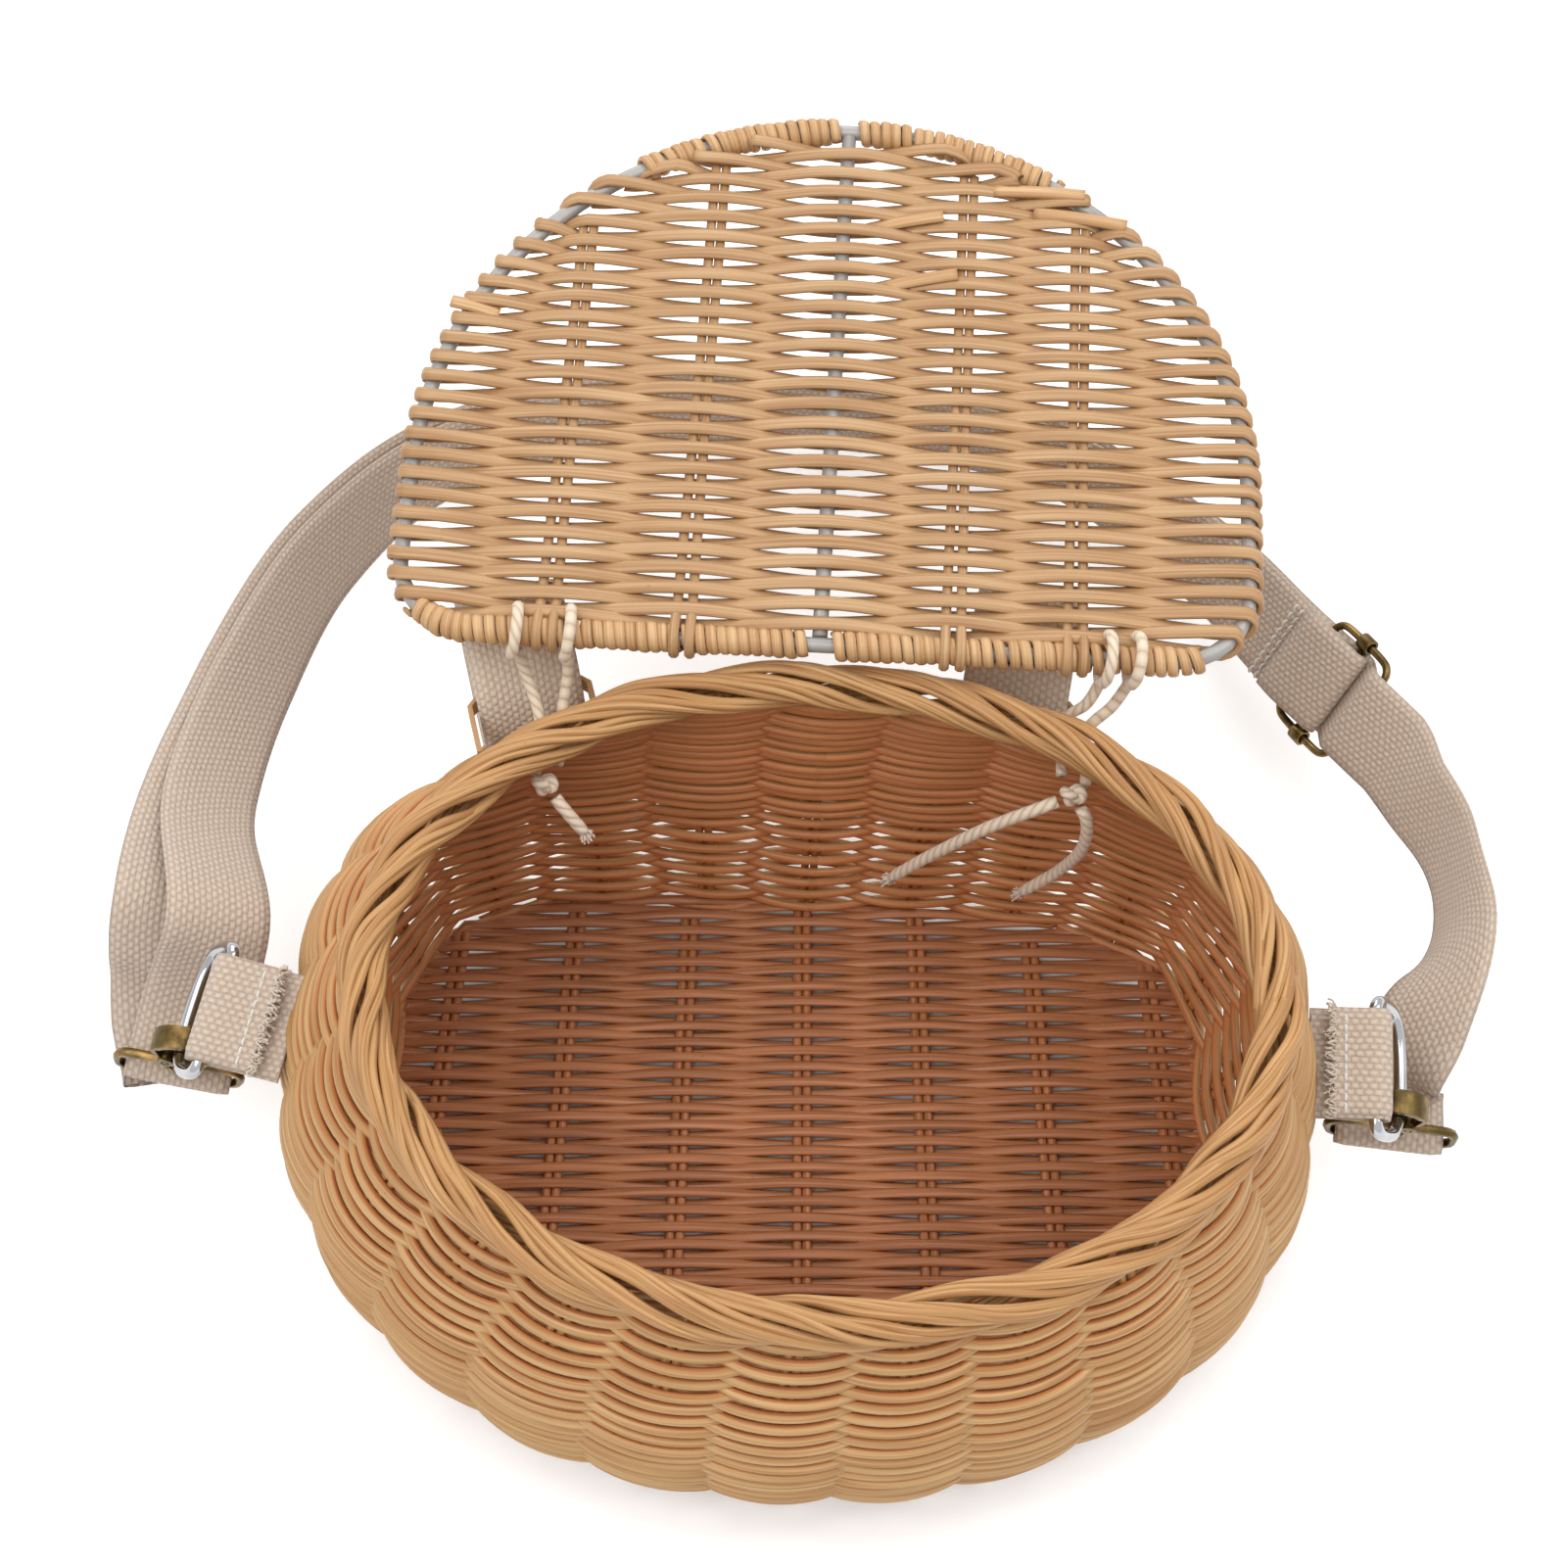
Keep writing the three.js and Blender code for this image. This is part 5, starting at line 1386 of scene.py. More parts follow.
    def weave(self) -> Array:
        """The one cane of the lid, turning round the frame wire between rows.

        Returns:
            Points of the path.
        """
        rng = np.random.default_rng(self.weave_seed)
        made = [self.row(i, rng) for i in range(self.rows)]
        path = []
        for i, (line, left, right) in enumerate(made):
            rightwards = i % 2 == 0
            path.append(line if rightwards else line[::-1])
            if i + 1 == self.rows:
                break
            sign = 1 if rightwards else -1
            out, back = (right, made[i + 1][2]) if rightwards else (left, made[i + 1][1])
            here = path[-1][-1]
            there = made[i + 1][0][-1 if rightwards else 0]
            t = np.linspace(0, 1, 7)[1:-1]
            bulge = self.wire + self.cane[1] / 2 + self.play
            n = out * bulge * np.cos(np.pi * t) if out != back else np.full(5, here[2])
            reach = bulge * np.sin(np.pi * t) * (1.0 if out != back else 0.5)
            flat = here[None, :2] + (there - here)[None, :2] * t[:, None]
            path.append(np.column_stack([flat[:, 0] + sign * reach, flat[:, 1], n]))
        return self.point(*np.vstack(path).T)

    def stake_runs(self) -> list[Strand]:
        """Pairs of stakes, hooked round the hinge wire.

        Returns:
            One strand for each cane.
        """
        runs = []
        for x in self.stakes:
            last = max(d for d in self.row_places() if abs(x) + self.clear < self.row_edge(d)) + 2.0
            line = [*self.hook, *((d, 0.0) for d in np.linspace(11, last, 24))]
            for side in SIDES:
                flat = np.array([(x + side * np.interp(d, (0, 60), self.stake_apart), d, n) for d, n in line])
                runs.append(Strand(catmull(self.point(*flat.T), 90)[0], ACROSS, *self.stake))
        return runs

    def cut_ends(self) -> list[Strand]:
        """Ends of joined canes that lie loose on the weave, two of them past the frame.

        Returns:
            One strand for each end.
        """
        runs = []
        part = np.linspace(0, 1, 14)[:, None]
        for ends in self.loose:
            start, end = np.array(ends[:3]), np.array(ends[3:])
            flat = start + (end - start) * part
            flat[:, 2] += 0.5 * np.sin(np.pi * part[:, 0])
            runs.append(Strand(self.point(*flat.T), self.axes[1], *self.cane))
        return runs

    def coil(self, spots: Array, heading: Array, rng: np.random.Generator) -> Strand:
        """Flat cane wound round a stretch of the frame wire.

        Args:
            spots: close points along the stretch on the lid (x, d).
            heading: the way along at each of them.
            rng: source of the uneven spacing.
        Returns:
            The coil.
        """
        run = run_along(spots)
        pitches = []
        while sum(pitches) < run[-1] - self.coil_gap:
            pitches.append(rng.uniform(*(self.close_turns if rng.uniform() < self.close_part else self.wide_turns)))
        ends = np.concatenate([[0.0], np.cumsum(pitches)])
        turns = np.arange(len(pitches) * self.coil_steps + 1) / self.coil_steps
        s = np.interp(turns, np.arange(len(ends)), ends)
        x, d = (np.interp(s, run, spots[:, k]) for k in (0, 1))
        hx, hd = (np.interp(s, run, heading[:, k]) for k in (0, 1))
        across, away, up = self.axes
        along = unit(hx[:, None] * across + hd[:, None] * away)
        beside = np.cross(up, along)
        loose = np.interp(turns, np.arange(len(ends)), rng.uniform(-0.05, 0.5, len(ends)))
        radius = (self.wire + self.lashing[1] / 2 + self.play + loose)[:, None]
        a = 2 * np.pi * turns
        radial = beside * np.cos(a)[:, None] + up * np.sin(a)[:, None]
        return Strand(self.point(x, d, 0.0) + radial * radius, along, *self.lashing)

    def build(self) -> None:
        """Makes the lid."""
        weave = skin("lid_weave", [Strand(self.weave(), self.axes[1], *self.cane)], self.finishes.lid)
        ride(weave, Body.LID, Slot.CANE, "lid_weaver")
        ride(skin("lid_cut_ends", self.cut_ends(), self.finishes.lashing), Body.LID, Slot.CANE)
        ride(skin("lid_stakes", self.stake_runs(), self.finishes.lid), Body.LID, Slot.CANE,
             *(f"lid_stake_pair_{i + 1}" for i in range(len(self.stakes))))
        wire = Strand(self.outline(), self.axes[2], 2 * self.wire, 2 * self.wire, closed=True, ring=12)
        ride(skin("lid_frame", [wire], self.finishes.wire), Body.LID, Slot.WIRE, "lid_frame_wire")
        reach = np.linspace(self.spine_inset, self.depth - self.spine_inset, 12)
        spine = Strand(self.point(0.0, reach, 0.0), ACROSS, 2 * self.wire, 2 * self.wire, ring=12)
        ride(skin("lid_spine", [spine], self.finishes.wire), Body.LID, Slot.WIRE, "lid_spine_wire")
        rng = np.random.default_rng(self.lash_seed)
        for side in Side:
            edge = np.linspace(3.5, self.half_width - self.corner, 40)
            bend = np.linspace(0, math.radians(self.lash_bend[side]), 12)[1:]
            x = np.concatenate([edge, edge[-1] + self.corner * np.sin(bend)]) * side.value
            d = np.concatenate([0 * edge, self.corner * (1 - np.cos(bend))])
            self.lash(f"{side.word}_hinge", np.stack([x, d], axis=1), rng)
            x = np.linspace(3.0, self.lashed, 40) * side.value
            d = self.arc_start + (self.depth - self.arc_start) * np.sqrt(1 - (x / self.half_width) ** 2)
            self.lash(f"{side.word}_front", np.stack([x, d], axis=1), rng)

    def lash(self, where: str, spots: Array, rng: np.random.Generator) -> None:
        """Makes one lashing in place of its solid.

        Args:
            where: side and edge.
            spots: close points along the edge (x, d).
            rng: source of the uneven spacing.
        """
        coil = self.coil(spots, np.gradient(spots, axis=0), rng)
        ride(skin(f"{where}_coil", [coil], self.finishes.lashing), Body.LID, Slot.CANE, f"{where}_lashing")


@dataclass
class HingeCords(Assembly):
    """Cotton cords that hinge the lid, with their knots and loose ends inside the wall."""

    form: WallForm
    lid: Lid
    loops: dict[Side, tuple[float, float]] = field(
        default_factory=lambda: {Side.LEFT: (-73.0, -61.0), Side.RIGHT: (60.5, 67.0)})
    holes: dict[Side, tuple[float, float]] = field(
        default_factory=lambda: {Side.LEFT: (-67.5, -62.5), Side.RIGHT: (52.5, 58.0)})
    radius: float = 1.6
    hole_z: float = 100.5
    wall: float = 5.0
    inside: float = 2.4
    drop: float = 0.5
    knot: float = 3.4
    knot_cord: float = 2.5
    knot_inset: float = 1.2
    tail: float = 3.0
    loop_radius: float = 5.5
    lean: float = 1.1
    cord: float = 2.7
    threads: int = 26

    def knot_at(self, side: Side) -> Array:
        """Place of a knot behind the wall.

        Args:
            side: which knot.
        Returns:
            Its middle.
        """
        z = self.hole_z - self.drop
        y = min(self.form.back_y(x, z) for x in self.holes[side])
        x = sum(self.holes[side]) / 2
        return vec(x, y - self.wall - self.inside - self.knot - 0.3, z)

    def strand(self, loop_x: float, hole_x: float) -> Array:
        """Cord from its loop on the lid through the wall to the knot.

        Args:
            loop_x: the loop's place across.
            hole_x: the hole's place across.
        Returns:
            Points of the path.
        """
        y = self.form.back_y(hole_x, self.hole_z)
        oy, oz = self.lid.origin[1], self.lid.origin[2] - self.loop_radius - self.radius
        points = [vec(loop_x, oy - 1, oz + 1.2), vec(mix(loop_x, hole_x, 0.4), oy - 4, oz - 6.0),
                  vec(hole_x, y + 4.5, self.hole_z + 3), vec(hole_x, y - self.wall / 2, self.hole_z),
                  vec(hole_x, y - self.wall - self.inside - 0.6, self.hole_z - self.drop)]
        return catmull(np.array(points), 40)[0]

    def knotted(self, side: Side) -> Strand:
        """An overhand knot.

        Args:
            side: which knot.
        Returns:
            The closed strand.
        """
        t = np.linspace(0, 2 * np.pi, 90, endpoint=False)
        x, y, z = np.sin(t) + 2 * np.sin(2 * t), np.cos(t) - 2 * np.cos(2 * t), -np.sin(3 * t)
        size = (self.knot - self.knot_inset) / 3.0
        points = np.stack([x, z * 1.1, y], axis=1) * size + self.knot_at(side)
        return Strand(points, vec(0.2, 1.0, 0.1), self.knot_cord, self.knot_cord, closed=True)

    def tail_path(self, side: Side, start: Array, onward: Sequence[Array], count: int) -> Array:
        """Route of a loose end from its knot.

        Args:
            side: which knot.
            start: the way that it leaves.
            onward: later places, from the knot.
            count: points wanted.
        Returns:
            Points of the path.
        """
        knot = self.knot_at(side)
        first = knot + unit(start) * (self.knot + 0.5)
        return catmull(np.array([first, first + 3 * start, *(knot + v for v in onward)]), count)[0]

    def fray(self, path: Array) -> list[Array]:
        """Loose threads at the cut end of a cord.

        Args:
            path: route of the cord.
        Returns:
            One path for each thread.
        """
        rng = np.random.default_rng(len(path))
        way = unit(path[-1] - path[-2])
        runs = []
        for _ in range(self.threads):
            aside = square_to(rng.normal(size=3), way)
            start = path[-1] - way * 1.2 + aside * rng.uniform(0.2, 0.9)
            reach = rng.uniform(1.6, 4.2)
            runs.append(catmull(np.array([start, start + way * reach * 0.5 + aside * 0.3,
                                          start + way * reach + aside * rng.uniform(0.4, 1.5)]), 6)[0])
        return runs

    def free_end(self, name: str, path: Array, node: str) -> Piece:
        """A loose end, thinner where it is cut.

        Args:
            name: name of the piece.
            path: its route in millimetres.
            node: CAD node that it stands for.
        Returns:
            The object.
        """
        strand = Strand(path, vec(0.1, 1.0, 0.2), self.tail, self.tail, taper=0.8)
        piece = skin(name, [strand], self.finishes.cord)
        ride(piece, Body.BASKET, Slot.CORD, node)
        return piece

    def build(self) -> None:
        long_end = self.tail_path(Side.RIGHT, vec(-0.9, -0.3, -0.3),
                                  [vec(-18, -2, -13), vec(-31, 0, -32), vec(-40, 2, -48)], 30)
        short_end = self.tail_path(Side.RIGHT, vec(0.5, -0.4, -0.8),
                                   [vec(4, -3, -18), vec(0, 0, -36), vec(-8, 2, -52)], 30)
        stub = self.tail_path(Side.LEFT, vec(0.6, -0.5, -0.6), [vec(9, -6, -11)], 14)
        for name, path, node in (("long_cord_end", long_end, "right_long_tail"),
                                 ("thin_cord_end", short_end, "right_short_tail")):
            piece = self.free_end(name, path, node)
        self.free_end("cord_stub", stub, "left_cord_stub")
        threads = [run for path in (long_end, short_end, stub) for run in self.fray(path)]
        loose = canes("cord_end_fray", threads, False, (0.45, 0.45), Lay.EVEN, self.finishes.fluff, 5)
        ride(loose, Body.BASKET, Slot.CORD)
        a = np.linspace(0, 2 * np.pi, 48, endpoint=False)
        for side in Side:
            ride(skin(f"{side.word}_cord_knot", [self.knotted(side)], self.finishes.cord), Body.BASKET, Slot.CORD,
                 f"{side.word}_knot")
            rings, strands = [], []
            for loop_x, hole_x in zip(self.loops[side], self.holes[side]):
                ring = self.lid.point(loop_x - self.lid.origin[0] + self.lean * np.sin(a),
                                      self.loop_radius * np.cos(a), self.loop_radius * np.sin(a))
                rings.append(Strand(ring, ACROSS, self.cord, self.cord, closed=True))
                strands.append(Strand(self.strand(loop_x, hole_x), ACROSS, self.cord, self.cord))
            ride(skin(f"{side.word}_hinge_cord_loops", rings, self.finishes.cord), Body.LID, Slot.CORD,
                 f"{side.word}_hinge_loop_1", f"{side.word}_hinge_loop_2")
            ride(skin(f"{side.word}_hinge_cords", strands, self.finishes.cord), Body.BASKET, Slot.CORD,
                 f"{side.word}_hinge_strand_1", f"{side.word}_hinge_strand_2")


@dataclass
class BarStrap(Assembly):
    """Webbing loop for a handlebar, tied to the back wall with two cane binders."""

    form: WallForm
    side: Side
    x: float
    z: float = 80.0
    half_depth: float = 16.5
    half_height: float = 22.0
    start: float = -10.0
    overlap: float = 100.0
    thick: float = 1.5
    pile: float = 1.6
    touch: float = 2.75

    def place(self) -> tuple[Array, Array, Array]:
        """Lays out the loop.

        Returns:
            Its middle, the way out from the wall and the way across.
        """
        y1, y2 = self.form.back_y(self.x - 10, self.z), self.form.back_y(self.x + 10, self.z)
        across = unit(vec(20, y2 - y1, 0))
        out = vec(-across[1], across[0], 0)
        middle = vec(self.x, self.form.back_y(self.x, self.z), self.z) + out * (self.touch + self.half_depth)
        return middle, out, across

    def oval(self, degrees: Array, offset: Array | float) -> Array:
        """Goes round the loop.

        Args:
            degrees: places round it.
            offset: how far outside its middle line.
        Returns:
            One point for each place.
        """
        middle, out, _ = self.place()
        a = np.radians(degrees)
        return (middle + out * ((self.half_depth + offset) * np.cos(a))[:, None]
                + UP * ((self.half_height + offset) * np.sin(a))[:, None])

    def build(self) -> None:
        """Makes the strap and its fastener."""
        word = self.side.word
        _, _, across = self.place()
        lift = self.pile + 0.6 + self.thick
        swept = np.linspace(0, 360 + self.overlap, 150)
        rise = np.array([lift * ease(310, 360, s) for s in swept])
        strap = Ribbon(self.oval(self.start + swept, rise), across)
        # the bar loop takes the lighter copy of the webbing, painted light
        ride(strap.build(f"{word}_bar_loop", self.finishes.pale_webbing), Body.BASKET, Slot.WEBBING,
             f"{word}_bar_strap")
        patch = np.linspace(self.start + 10, self.start + self.overlap - 15, 40)
        fuzzy = Ribbon(self.oval(patch, self.thick / 2 + 0.3 + self.pile / 2), across, width=22.0,
                       thickness=self.pile).build(f"{word}_pile_patch", self.finishes.pile)
        ride(fuzzy, Body.BASKET, Slot.PILE, f"{word}_hook_and_loop")
        for place in ("upper", "lower"):
            node = f"{word}_{place}_binder"
            ride(eased_copy(f"{word}_{place}_tie", node, self.finishes.lashing, 0.25), Body.BASKET, Slot.CANE, node)


@dataclass
class Hitch(Assembly):
    """Webbing tab, ring and clasp on one side of the wall."""

    side: Side
    bar: Array
    length: float
    turn: float
    tilt: float = math.radians(15.0)
    ring_wire: float = 1.7
    thick: float = 1.7
    width: float = 25.0
    cut: float = 0.72
    cut_half: float = 12.2
    tufts: int = 36
    seam_at: float = 0.52
    stitches: int = 10

    def axes(self) -> tuple[Array, Array, Array]:
        """Directions of the tab.

        Returns:
            Out from the wall, up the tab's face and along the ring's bar.
        """
        c, s = math.cos(self.turn), math.sin(self.turn)
        spin = np.array([[c, -s, 0], [s, c, 0], [0, 0, 1]])
        out = spin @ vec(self.side.value, 0, 0)
        across = spin @ vec(0, math.cos(self.tilt), math.sin(self.tilt))
        up = spin @ vec(0, -math.sin(self.tilt), math.cos(self.tilt))
        return out, up, across

    def tab_line(self) -> Array:
        """Section of the tab, from its cut end over the ring's bar and back under to the wall.

        Returns:
            Points of the path.
        """
        fold = self.ring_wire + 0.5 + self.thick / 2
        rest = self.thick / 2 + 0.25
        angle = np.radians(np.linspace(100, -100, 15))
        arc = np.stack([fold * np.cos(angle), fold * np.sin(angle)], axis=1)
        over = [(-self.length * self.cut, rest + 0.5), (-self.length * 0.45, rest + 0.7)]
        under = [(-self.length * 0.5, -rest - 0.2), (-self.length * 0.75, -rest), (-self.length - 1.0, -rest)]
        flat = np.vstack([over, arc, under])
        out, up, _ = self.axes()
        return catmull(self.bar + flat[:, :1] * out + flat[:, 1:] * up, 70)[0]

    def seam(self) -> list[Array]:
        """Stitches through the tab between the ring and the wall.

        Returns:
            One path for each thread.
        """
        out, up, across = self.axes()
        runs = []
        for v in np.linspace(-11.0, 9.0, self.stitches):
            a = self.bar - out * self.length * self.seam_at + across * v + up * (self.thick + 0.95)
            runs.append(stitch(a, up, across, 1.8, 0.6))
        return runs

    def fray(self) -> list[Array]:
        """Loose threads of the cut end beside the wall.

        Returns:
            One path for each thread.
        """
        rng = np.random.default_rng(31 + self.side.value)
        out, up, across = self.axes()
        runs = []
        for v in np.repeat(np.linspace(-self.cut_half, self.cut_half, self.tufts), 3):
            start = self.bar - out * (self.length * self.cut - 0.6) + across * (v + rng.uniform(-0.4, 0.4))
            start = start + up * (self.thick * rng.uniform(0.4, 1.3) + 0.6)
            lean = unit(-out * rng.uniform(0.5, 1.0) + up * rng.uniform(-0.3, 0.8) + across * rng.uniform(-0.5, 0.5))
            reach = rng.uniform(1.2, 3.2)
            side = across * rng.uniform(-0.7, 0.7) + up * rng.uniform(-0.3, 0.5)
            runs.append(catmull(np.array([start, start + lean * reach * 0.5 + side, start + lean * reach]), 6)[0])
        return runs

    def build(self) -> None:
        """Makes the tab and softens the metal pieces."""
        word = self.side.word
        tab = Ribbon(self.tab_line(), self.axes()[2], self.width, self.thick)
        ride(tab.build(f"{word}_ring_tab", self.finishes.webbing), Body.BASKET, Slot.WEBBING, f"{word}_tab")
        threads = canes(f"{word}_tab_seam", self.seam(), False, (0.75, 0.75), Lay.EVEN, self.finishes.thread, 6)
        ride(threads, Body.BASKET, Slot.WEBBING)
        loose = canes(f"{word}_tab_fray", self.fray(), False, (0.5, 0.5), Lay.EVEN, self.finishes.fluff, 5)
        ride(loose, Body.BASKET, Slot.WEBBING)
        ring, hook, gate = (Body[f"{self.side.name}_{part}"] for part in ("RING", "HOOK", "GATE"))
        brass = Slot.BRASS, self.finishes.brass
        for name, node, body, (slot, finish), softened in (
                ("strap_ring", "ring", ring, (Slot.RING, self.finishes.chrome), (0.0, 2)),
                ("clasp_hook", "hook", hook, brass, (0.28, 0, 30.0)),
                ("clasp_pin", "gate_pin", hook, brass, (0.1, 0, 50.0)),
                ("clasp_gate", "gate", gate, brass, (0.22, 0, 30.0)),
                ("strap_bail", "bail", Body.BASKET, brass, (0.15, 0, 55.0))):
            ride(eased_copy(f"{word}_{name}", f"{word}_{node}", finish, *softened), body, slot, f"{word}_{node}")


@dataclass
class CarryingStrap(Assembly):
    """Shoulder strap from clasp to clasp, doubled back to its slider."""

    left_bail: Array = fixed(-152.1189, 8.6046, 40.7072)
    left_way: Array = fixed(0.056268, 0.996445, 0.062705)
    left_down: Array = fixed(-0.238107, 0.074385, -0.968386)
    right_bail: Array = fixed(135.2015, 9.505, 39.3654)
    right_way: Array = fixed(0.102805, 0.990156, 0.094985)
    right_down: Array = fixed(0.079169, 0.087043, -0.993054)
    straight: float = 14.0
    given: tuple[tuple[float, ...], ...] = (
        (-142.8, 37, 66, 62), (-152.6, 69.7, 56, 54), (-154, 88, 50, 48), (-151.5, 118.4, 42, 40),
        (-141, 170.5, 26, 27), (-116, 208.5, 18, 15), (-66, 231, 14, 7), (-4, 234, 13.5, 3), (56, 222, 15, 10),
        (100, 184, 20, 30), (122, 151, 27, 42), (133.7, 133, 31, 42), (144, 112, 36, 32), (154, 90, 41, 17),
        (155.5, 68, 48, 14), (153.5, 53, 54, 30), (147, 38, 60, 54))  # x, y, z and slope of the face
    thick: float = 1.5
    ply_gap: float = 0.4
    bail_wire: float = 1.2
    slider_wire: float = 1.2
    slider_half: float = 10.8
    slider_along: float = 0.772
    slider_clear: float = 26.0
    slider_straight: tuple[float, float] = (20.0, 44.0)
    sag: float = 5.0
    sag_reach: float = 90.0
    splay: float = 12.0
    splay_left: float = 2.4
    end_tail: float = 14.0
    seam_rows: tuple[float, float] = (-20.0, -22.4)
    seam_half: float = 10.5
    smooth: int = 40
    soften: float = 20.0
    rise: tuple[float, float] = (13.0, 30.0)
    left_reach: float = 146.0
    right_reach: float = 92.0
    steps: int = 150

    def __post_init__(self) -> None:
        """Lays out the route and the straight through the slider."""
        left, right = self.end_roll(Side.LEFT), self.end_roll(Side.RIGHT)
        points = [self.left_bail, self.left_bail + self.straight * self.left_way, *(vec(*g[:3]) for g in self.given),
                  self.right_bail + self.straight * self.right_way, self.right_bail]
        rolls = np.array([left, left, *(g[3] for g in self.given), right, right], dtype=float)
        self.curve, reach = catmull(np.array(points), 1601)
        self.length = float(reach[-1])
        rolls = np.interp(np.linspace(0, self.length, len(self.curve)), reach, rolls)
        self.rolls = np.convolve(np.pad(rolls, self.smooth, mode="edge"), np.ones(2 * self.smooth + 1), "valid")
        self.rolls = self.rolls / (2 * self.smooth + 1)
        self.tangents = unit(np.gradient(self.curve, axis=0))
        self.slider = self.slider_along * self.length
        self.slider_frame = self.on_curve(self.slider)

    def end_roll(self, side: Side) -> float:
        """Slope of the strap's face where it is folded round a bail.

        Args:
            side: which bail.
        Returns:
            The slope in degrees.
        """
        way, down = (self.left_way, self.left_down) if side is Side.LEFT else (self.right_way, self.right_down)
        inward = unit(vec(way[1], -way[0], 0)) * -side.value
        return math.degrees(math.atan2(-down[2], -float(down @ inward)))

    def on_curve(self, s: float) -> tuple[Array, Array, Array]:
        """A place on the strap's route.

        Args:
            s: run along the route.
        Returns:
            Its point, way along and face.
        """
        s = min(self.length, max(0.0, s))
        place = s / self.length * (len(self.curve) - 1)
        low = min(int(place), len(self.curve) - 2)
        t = place - low
        point = mix(self.curve[low], self.curve[low + 1], t)
        along = unit(mix(self.tangents[low], self.tangents[low + 1], t))
        roll = math.radians(mix(self.rolls[low], self.rolls[low + 1], t))
        normal = unit(vec(along[1], -along[0], 0)) * math.cos(roll) + vec(0, 0, math.sin(roll))
        return point, along, square_to(normal, along)

    def frame_at(self, s: float) -> tuple[Array, Array, Array, Array]:
        """A place on the route, which is straight through the slider.

        Args:
            s: run along the route.
        Returns:
            Its point, way along, face and way across.
        """
        point, along, normal = self.on_curve(s)
        mid, mid_along, mid_normal = self.slider_frame
        weight = 1 - ease(*self.slider_straight, abs(s - self.slider))
        point = mix(point, mid + mid_along * (s - self.slider), weight)
        along = unit(mix(along, mid_along, weight))
        normal = square_to(mix(normal, mid_normal, weight), along)
        return point, along, normal, np.cross(along, normal)

    def at(self, s: float, height: float, aside: float = 0.0) -> tuple[Array, Array]:
        """A point over the route with the way across there."""
        point, _, normal, across = self.frame_at(s)
        return point + normal * height + across * aside, across

    def fold(self, s: float, direction: int, radius: float) -> list[tuple[Array, Array]]:
        """Turn of the strap round a bail.

        Args:
            s: run along the route.
            direction: -1 or 1 along the route.
            radius: radius of the turn.
        Returns:
            Points with the way across at each.
        """
        point, along, normal, across = self.frame_at(s)
        return [(point + normal * radius * math.sin(a) + along * direction * radius * math.cos(a), across)
                for a in np.radians(np.linspace(75, -75, 13))]

    def softened(self, ply: list[tuple[Array, Array]], step: float, reach: float) -> list[tuple[Array, Array]]:
        """Takes the crease out of a ply where it rises from its bail.

        Args:
            ply: points and ways across, from the bail on.
            step: run of the strap from one point to the next.
            reach: run from the bail at which the ply is as it was.
        Returns:
            The same ply with a gentler rise.
        """
        each, wide = np.array(ply), round(self.soften / step)
        padded = np.pad(each, ((wide, wide), (0, 0), (0, 0)), mode="edge")
        mean = sum(padded[k:k + len(each)] for k in range(2 * wide + 1)) / (2 * wide + 1)
        made = []
        for number, (was, new) in enumerate(zip(each, mean)):
            run = number * step
            point, across = mix(was, new, ease(*self.rise, run) * (1 - ease(0.68 * reach, reach, run)))
            made.append((point, unit(across)))
        return made

    def route(self) -> tuple[Array, Array]:
        """The whole strap.

        Returns:
            Points of its middle line and the way across at each.
        """
        radius = self.bail_wire + 0.4 + self.thick / 2
        close = (self.thick + self.ply_gap) / 2
        over = self.slider_wire + 0.4 + self.thick / 2
        step = self.thick + self.ply_gap - 0.05
        near, far, end = self.slider - self.slider_clear, self.slider + self.slider_clear, self.slider_half

        def lift(s: float) -> float:
            """Half the gap between the two plies."""
            return mix(radius, close, ease(4, 30, s))

        def hang(s: float) -> float:
            """How far the lower ply hangs."""
            return self.sag * math.sin(math.pi * min(1.0, max(0.0, (s - 6) / self.sag_reach))) ** 2

        def beside(s: float) -> float:
            """How far the lower ply lies beside the upper one."""
            size = mix(self.splay, self.splay_left, ease(32, 112, s))
            return size * ease(-4, 30, s) * (1 - ease(near - 120, near - 40, s))

        tail = [(-18, over + 1.3), (-end - 2.7, over + step), (-end, over + step), (-6, over + 1.1), (-2, over + 0.1)]
        bend = [(over * math.cos(a), over * math.sin(a)) for a in np.radians(np.linspace(80, -90, 9))]
        upper = [(-2, -over), (-9, over - 0.1), (-end - 1.7, over), (-18, 1.6)]
        lower = [(-18, -1.5), (-12, -over - 0.05), (-9, -over - 0.3), (-3, -over - step), (0, -over - step),
                 (2.5, -over - 1.3), (end - 2, over - 0.3), (end, over + 0.05), (end + 1.7, over), (16, 2)]
        made = [self.at(self.slider + d, n) for d, n in (*tail, *bend, *upper)]
        made += [self.at(s, lift(s)) for s in np.linspace(near, 0, self.steps)]
        made += self.fold(0.0, -1, radius)
        below = [self.at(s, -lift(s) - hang(s), -beside(s)) for s in np.linspace(0, near, self.steps)]
        made += self.softened(below, near / self.steps, self.left_reach)
        made += [self.at(self.slider + d, n) for d, n in lower]
        last = [self.at(s, radius * ease(far, self.length - 30, s)) for s in np.linspace(self.length, far, 70)]
        made += self.softened(last, (self.length - far) / len(last), self.right_reach)[::-1]
        made += self.fold(self.length, 1, radius)
        made += [self.at(self.length - self.end_tail * t, mix(-radius, radius - step - 0.3, t))
                 for t in np.linspace(0, 1, 16)]
        return np.array([m[0] for m in made]), np.array([m[1] for m in made])

